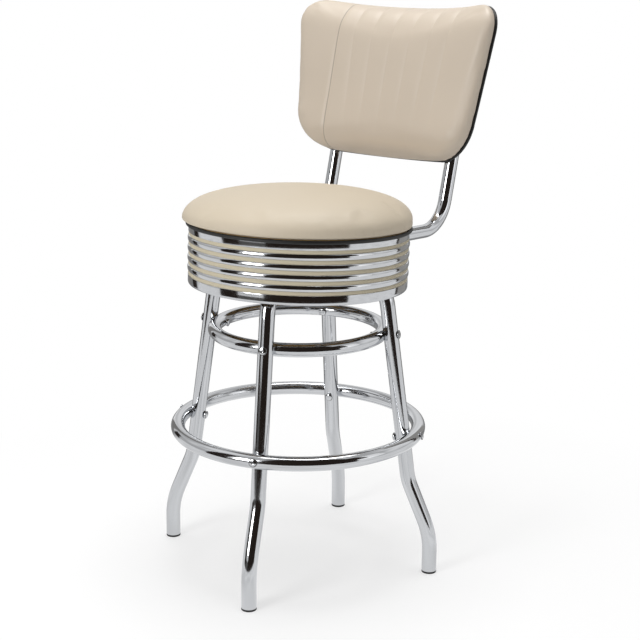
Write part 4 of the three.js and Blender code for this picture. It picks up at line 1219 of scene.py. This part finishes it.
class STOOL_OT_back_cushion(bpy.types.Operator):
    """Model the padded back with its channels and side seam"""

    bl_idname = "stool.back_cushion"
    bl_label = "Back cushion"

    def execute(self, context):
        back = context.scene.stool_back
        stack = 2 * back.welt_radius + back.layer_gap
        pad = start(
            bpy.ops.mesh.primitive_grid_add, "padded_back",
            x_subdivisions=56, y_subdivisions=44, size=2,
        )
        edit_all()
        push((0, 0, 1))
        leave_edit()
        # The grid's sides run from -1 to 1. Its front is blown up over a rolled edge.
        for vertex in pad.data.vertices:
            share, up, front = vertex.co
            share, up = sin(share * pi / 2), sin(up * pi / 2)
            fullness = 6 if up > 0 else 14
            height = back.bottom + (back.top - back.bottom) * (up + 1) / 2
            sideways = share * edge_at(height)
            roll = ((1 - abs(share) ** 20) * (1 - abs(up) ** 20)) ** (1 / 2.4)
            corner = share**2 * min(0, up) ** 2
            depth = back.pad_rim + (back.pad_depth + back.corner_fill * corner) * roll
            depth += back.pad_crown * (1 - share**2) * (1 - abs(up) ** fullness)
            rear = rear_face(sideways) - stack * slant(sideways)
            vertex.co = (sideways, rear - depth * front, height)
        edit_all()
        leave_edit()

        def held(place):
            return place.y > rear_face(place.x) - stack * slant(place.x) - 4 * MM

        swell(pad, held, voxel=4.5 * MM, pressure=4, cap=2.0 * MM)
        crease_back(pad)
        lift_corners(pad)
        smooth(pad, degrees=60)
        settle(pad, back_frame())
        finish(pad, "seat", "cream_vinyl", "back_cushion", look="cream_vinyl_seamed")
        return {"FINISHED"}


class STOOL_OT_hidden_parts(bpy.types.Operator):
    """Give the swivel, boards and screws under the seat their finishes"""

    bl_idname = "stool.hidden_parts"
    bl_label = "Swivel, boards and screws"

    def execute(self, context):
        wood = ("seat_board", "back_board", "seat_spacer")
        zinc = ["hub_plate", "swivel_base_plate", "ball_cage", "swivel_top_plate"]
        zinc += [f"hub_bolt_{name}" for name in LEG_NAMES]
        zinc += [f"tube_screw_{name}" for name in SIDES]
        for look, nodes in (("plywood", wood), ("zinc", zinc)):
            for name in nodes:
                coat(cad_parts[name], look)
        return {"FINISHED"}


class STOOL_OT_stage(bpy.types.Operator):
    """Set the pale floor, the studio light and the camera"""

    bl_idname = "stool.stage"
    bl_label = "Floor, light and camera"

    def execute(self, context):
        context.scene.view_settings.view_transform = "Standard"
        self.add_floor()
        self.light_world()
        self.add_cards()
        self.add_lamps()
        self.add_camera()
        return {"FINISHED"}

    def seen(self, tree):
        """1 for what the camera, metal and glass see, and 0 for light that falls on things."""
        rays = add(tree, "LightPath").outputs
        seen = calculate(tree, "MAXIMUM", rays["Is Camera Ray"], rays["Is Glossy Ray"])
        return calculate(tree, "MAXIMUM", seen, rays["Is Transmission Ray"])

    def add_floor(self):
        """A wide floor that reads as white, and keeps the stool's shadow near it."""
        plane = bpy.ops.mesh.primitive_plane_add
        floor = start(plane, "studio_floor", size=24, location=(0, 0, 0))
        material = bpy.data.materials.new("floor")
        tree = bare_tree(material)
        pale, place = settings()[3].floor, object_place(tree)
        lit = add(tree, "BsdfDiffuse", scaled(pale, 1))
        shaded = add(tree, "BsdfDiffuse", scaled(pale, 0.50))
        both = add(tree, "AddShader", shaded, add(tree, "Emission", WHITE, 0.585))
        away = add(tree, "VectorMath", place, operation="LENGTH").outputs["Value"]
        fade = spread(tree, away, 0.4, 0.9, 0, 1)
        near = add(tree, "MixShader", fade, both, add(tree, "Emission", WHITE, 1.0))
        # Metal sees the floor as a painted reflection: a glow in patches, dimmed behind the stool.
        patches = spread(tree, noise(tree, place, 3.2, 1), 0.36, 0.64, 0.80, 1.0)
        behind = add(tree, "VectorMath", place, BEHIND, operation="DOT_PRODUCT").outputs["Value"]
        facing = calculate(tree, "DIVIDE", behind, away)
        ahead = calculate(tree, "MULTIPLY", facing, spread(tree, away, 0.3, 0.7, 0, 1))
        dimming = spread(tree, ahead, 0.45, 0.7, 1.0, 0.3)
        sheen = add(tree, "Emission", WHITE, calculate(tree, "MULTIPLY", patches, dimming))
        glossy = add(tree, "LightPath").outputs["Is Glossy Ray"]
        near = add(tree, "MixShader", glossy, near, sheen)
        add(tree, "OutputMaterial", add(tree, "MixShader", self.seen(tree), lit, near))
        floor.data.materials.append(material)

    def light_world(self):
        """White for the camera, a pale room for metal, and a plain grey level for light."""
        world = bpy.data.worlds.new("studio")
        bpy.context.scene.world = world
        tree = bare_tree(world)
        rays = add(tree, "LightPath").outputs
        patches = noise(tree, add(tree, "TexCoord").outputs["Generated"], 1.6, 1)
        room = add(tree, "Background", WHITE, spread(tree, patches, 0.38, 0.62, 0.55, 1.0))
        plain = add(tree, "Background", WHITE, 0.42)
        clear = calculate(tree, "MAXIMUM", rays["Is Camera Ray"], rays["Is Transmission Ray"])
        lit = add(tree, "MixShader", rays["Is Glossy Ray"], plain, room)
        mixed = add(tree, "MixShader", clear, lit, add(tree, "Background", WHITE, 1.0))
        add(tree, "OutputWorld", mixed)

    def add_cards(self):
        """Dark and grey cards round the stool that only metal reflects, as in a studio."""
        # Each has its first and last angle from the camera's side, its brightness, and the
        # radii and heights of its section.
        for name, first, last, shade, section in (
            ("front_card", -33, 50, 0.022, ((1.9, 0), (1.9, 2.2), (0.75, 3.7))),
            ("low_card", -60, -33, 0.10, ((1.95, 0), (1.95, 0.35))),
            ("left_card", -82, -60, 0.022, ((1.9, 0), (1.9, 2.4))),
            ("rear_left_card", -134, -122, 0.022, ((1.9, 0), (1.9, 0.75))),
            ("rear_left_grey_card", -152, -138, 0.25, ((1.9, 0), (1.9, 2.4))),
            ("high_card", 50, 61, 0.022, ((1.9, 0.75), (1.9, 2.2))),
            ("rear_right_card", 116, 121, 0.03, ((1.9, 0), (1.9, 2.4))),
            ("rear_right_grey_card", 121, 146, 0.36, ((1.9, 0), (1.9, 2.4))),
        ):
            tint = (1, 0.97, 0.93) if shade > 0.05 else (1, 0.74, 0.60)
            material = bpy.data.materials.new(name)
            tree = bare_tree(material)
            add(tree, "OutputMaterial", add(tree, "Emission", scaled(tint, shade)))
            card = spun(name, section, steps=12, angle=radians(last - first), axis=-1)
            settle(card, floor_frame() @ turned(radians(CAMERA_SIDE + first), "Z"))
            card.data.materials.append(material)
            for kind in ("camera", "diffuse", "transmission", "shadow"):
                setattr(card, f"visible_{kind}", False)

    def add_lamps(self):
        """A tall soft lamp on the left, a wide one overhead and a weak one on the right."""
        for name, place, wide, tall, power in (
            ("left_softbox", (-0.27, -2.25, 1.15), 0.75, 1.0, 21.5),
            ("overhead_softbox", (-0.1, 0.3, 2.9), 1.6, 1.4, 42),
            ("right_softbox", (2.4, 0.6, 1.4), 1.2, 1.6, 3),
        ):
            aim = (Vector((0, 0, 0.55)) - Vector(place)).to_track_quat("-Z", "Y").to_euler()
            lamp = start(bpy.ops.object.light_add, name, type="AREA", location=place, rotation=aim)
            lamp.data.shape = "RECTANGLE"
            lamp.data.size = wide
            lamp.data.size_y = tall
            lamp.data.energy = power
            lamp.visible_camera = False

    def add_camera(self):
        """A long lens at the photograph's height, three quarters from the front."""
        facing, tilt, roll = radians(38.11), radians(75.75), radians(0.56)
        turn = (turned(facing, "Z") @ turned(tilt, "X") @ turned(roll, "Z")).to_euler()
        place = floor_frame() @ Vector((1.4613, -1.8046, 1.0168))
        camera = start(bpy.ops.object.camera_add, "Camera", location=place, rotation=turn)
        camera.data.sensor_width = 36
        camera.data.lens = 79.03
        bpy.context.scene.camera = camera


class STOOL_PT_panel(bpy.types.Panel):
    """Lists the stool's pieces in the order they are made"""

    bl_idname = "STOOL_PT_panel"
    bl_label = "Counter stool"
    bl_space_type = "VIEW_3D"
    bl_region_type = "UI"
    bl_category = "Stool"

    def draw(self, context):
        for maker in MAKERS:
            self.layout.operator(maker.bl_idname)
        for name in ("stool_base", "stool_seat", "stool_back", "stool_finish"):
            group = getattr(context.scene, name)
            box = self.layout.box()
            for setting in group.bl_rna.properties:
                if setting.identifier not in ("rna_type", "name"):
                    box.prop(group, setting.identifier)


GROUPS = {
    "stool_base": STOOL_PG_base,
    "stool_seat": STOOL_PG_seat,
    "stool_back": STOOL_PG_back,
    "stool_finish": STOOL_PG_finish,
}
MAKERS = (
    STOOL_OT_legs,
    STOOL_OT_rings,
    STOOL_OT_ring_bolts,
    STOOL_OT_skirt,
    STOOL_OT_seat_cushion,
    STOOL_OT_back_tubes,
    STOOL_OT_back_cover,
    STOOL_OT_back_cushion,
    STOOL_OT_hidden_parts,
    STOOL_OT_stage,
)


def register():
    """Registers the classes and adds the settings to the scene."""
    for name, group in GROUPS.items():
        bpy.utils.register_class(group)
        setattr(bpy.types.Scene, name, PointerProperty(type=group))
    for item in (*MAKERS, STOOL_PT_panel):
        bpy.utils.register_class(item)


def unregister():
    """Removes the classes and the settings."""
    for item in (STOOL_PT_panel, *reversed(MAKERS)):
        bpy.utils.unregister_class(item)
    for name, group in GROUPS.items():
        delattr(bpy.types.Scene, name)
        bpy.utils.unregister_class(group)


def main():
    """Makes the whole stool and its stage."""
    register()
    for maker in MAKERS:
        family, _, name = maker.bl_idname.partition(".")
        getattr(getattr(bpy.ops, family), name)()


if __name__ == "__main__":
    main()
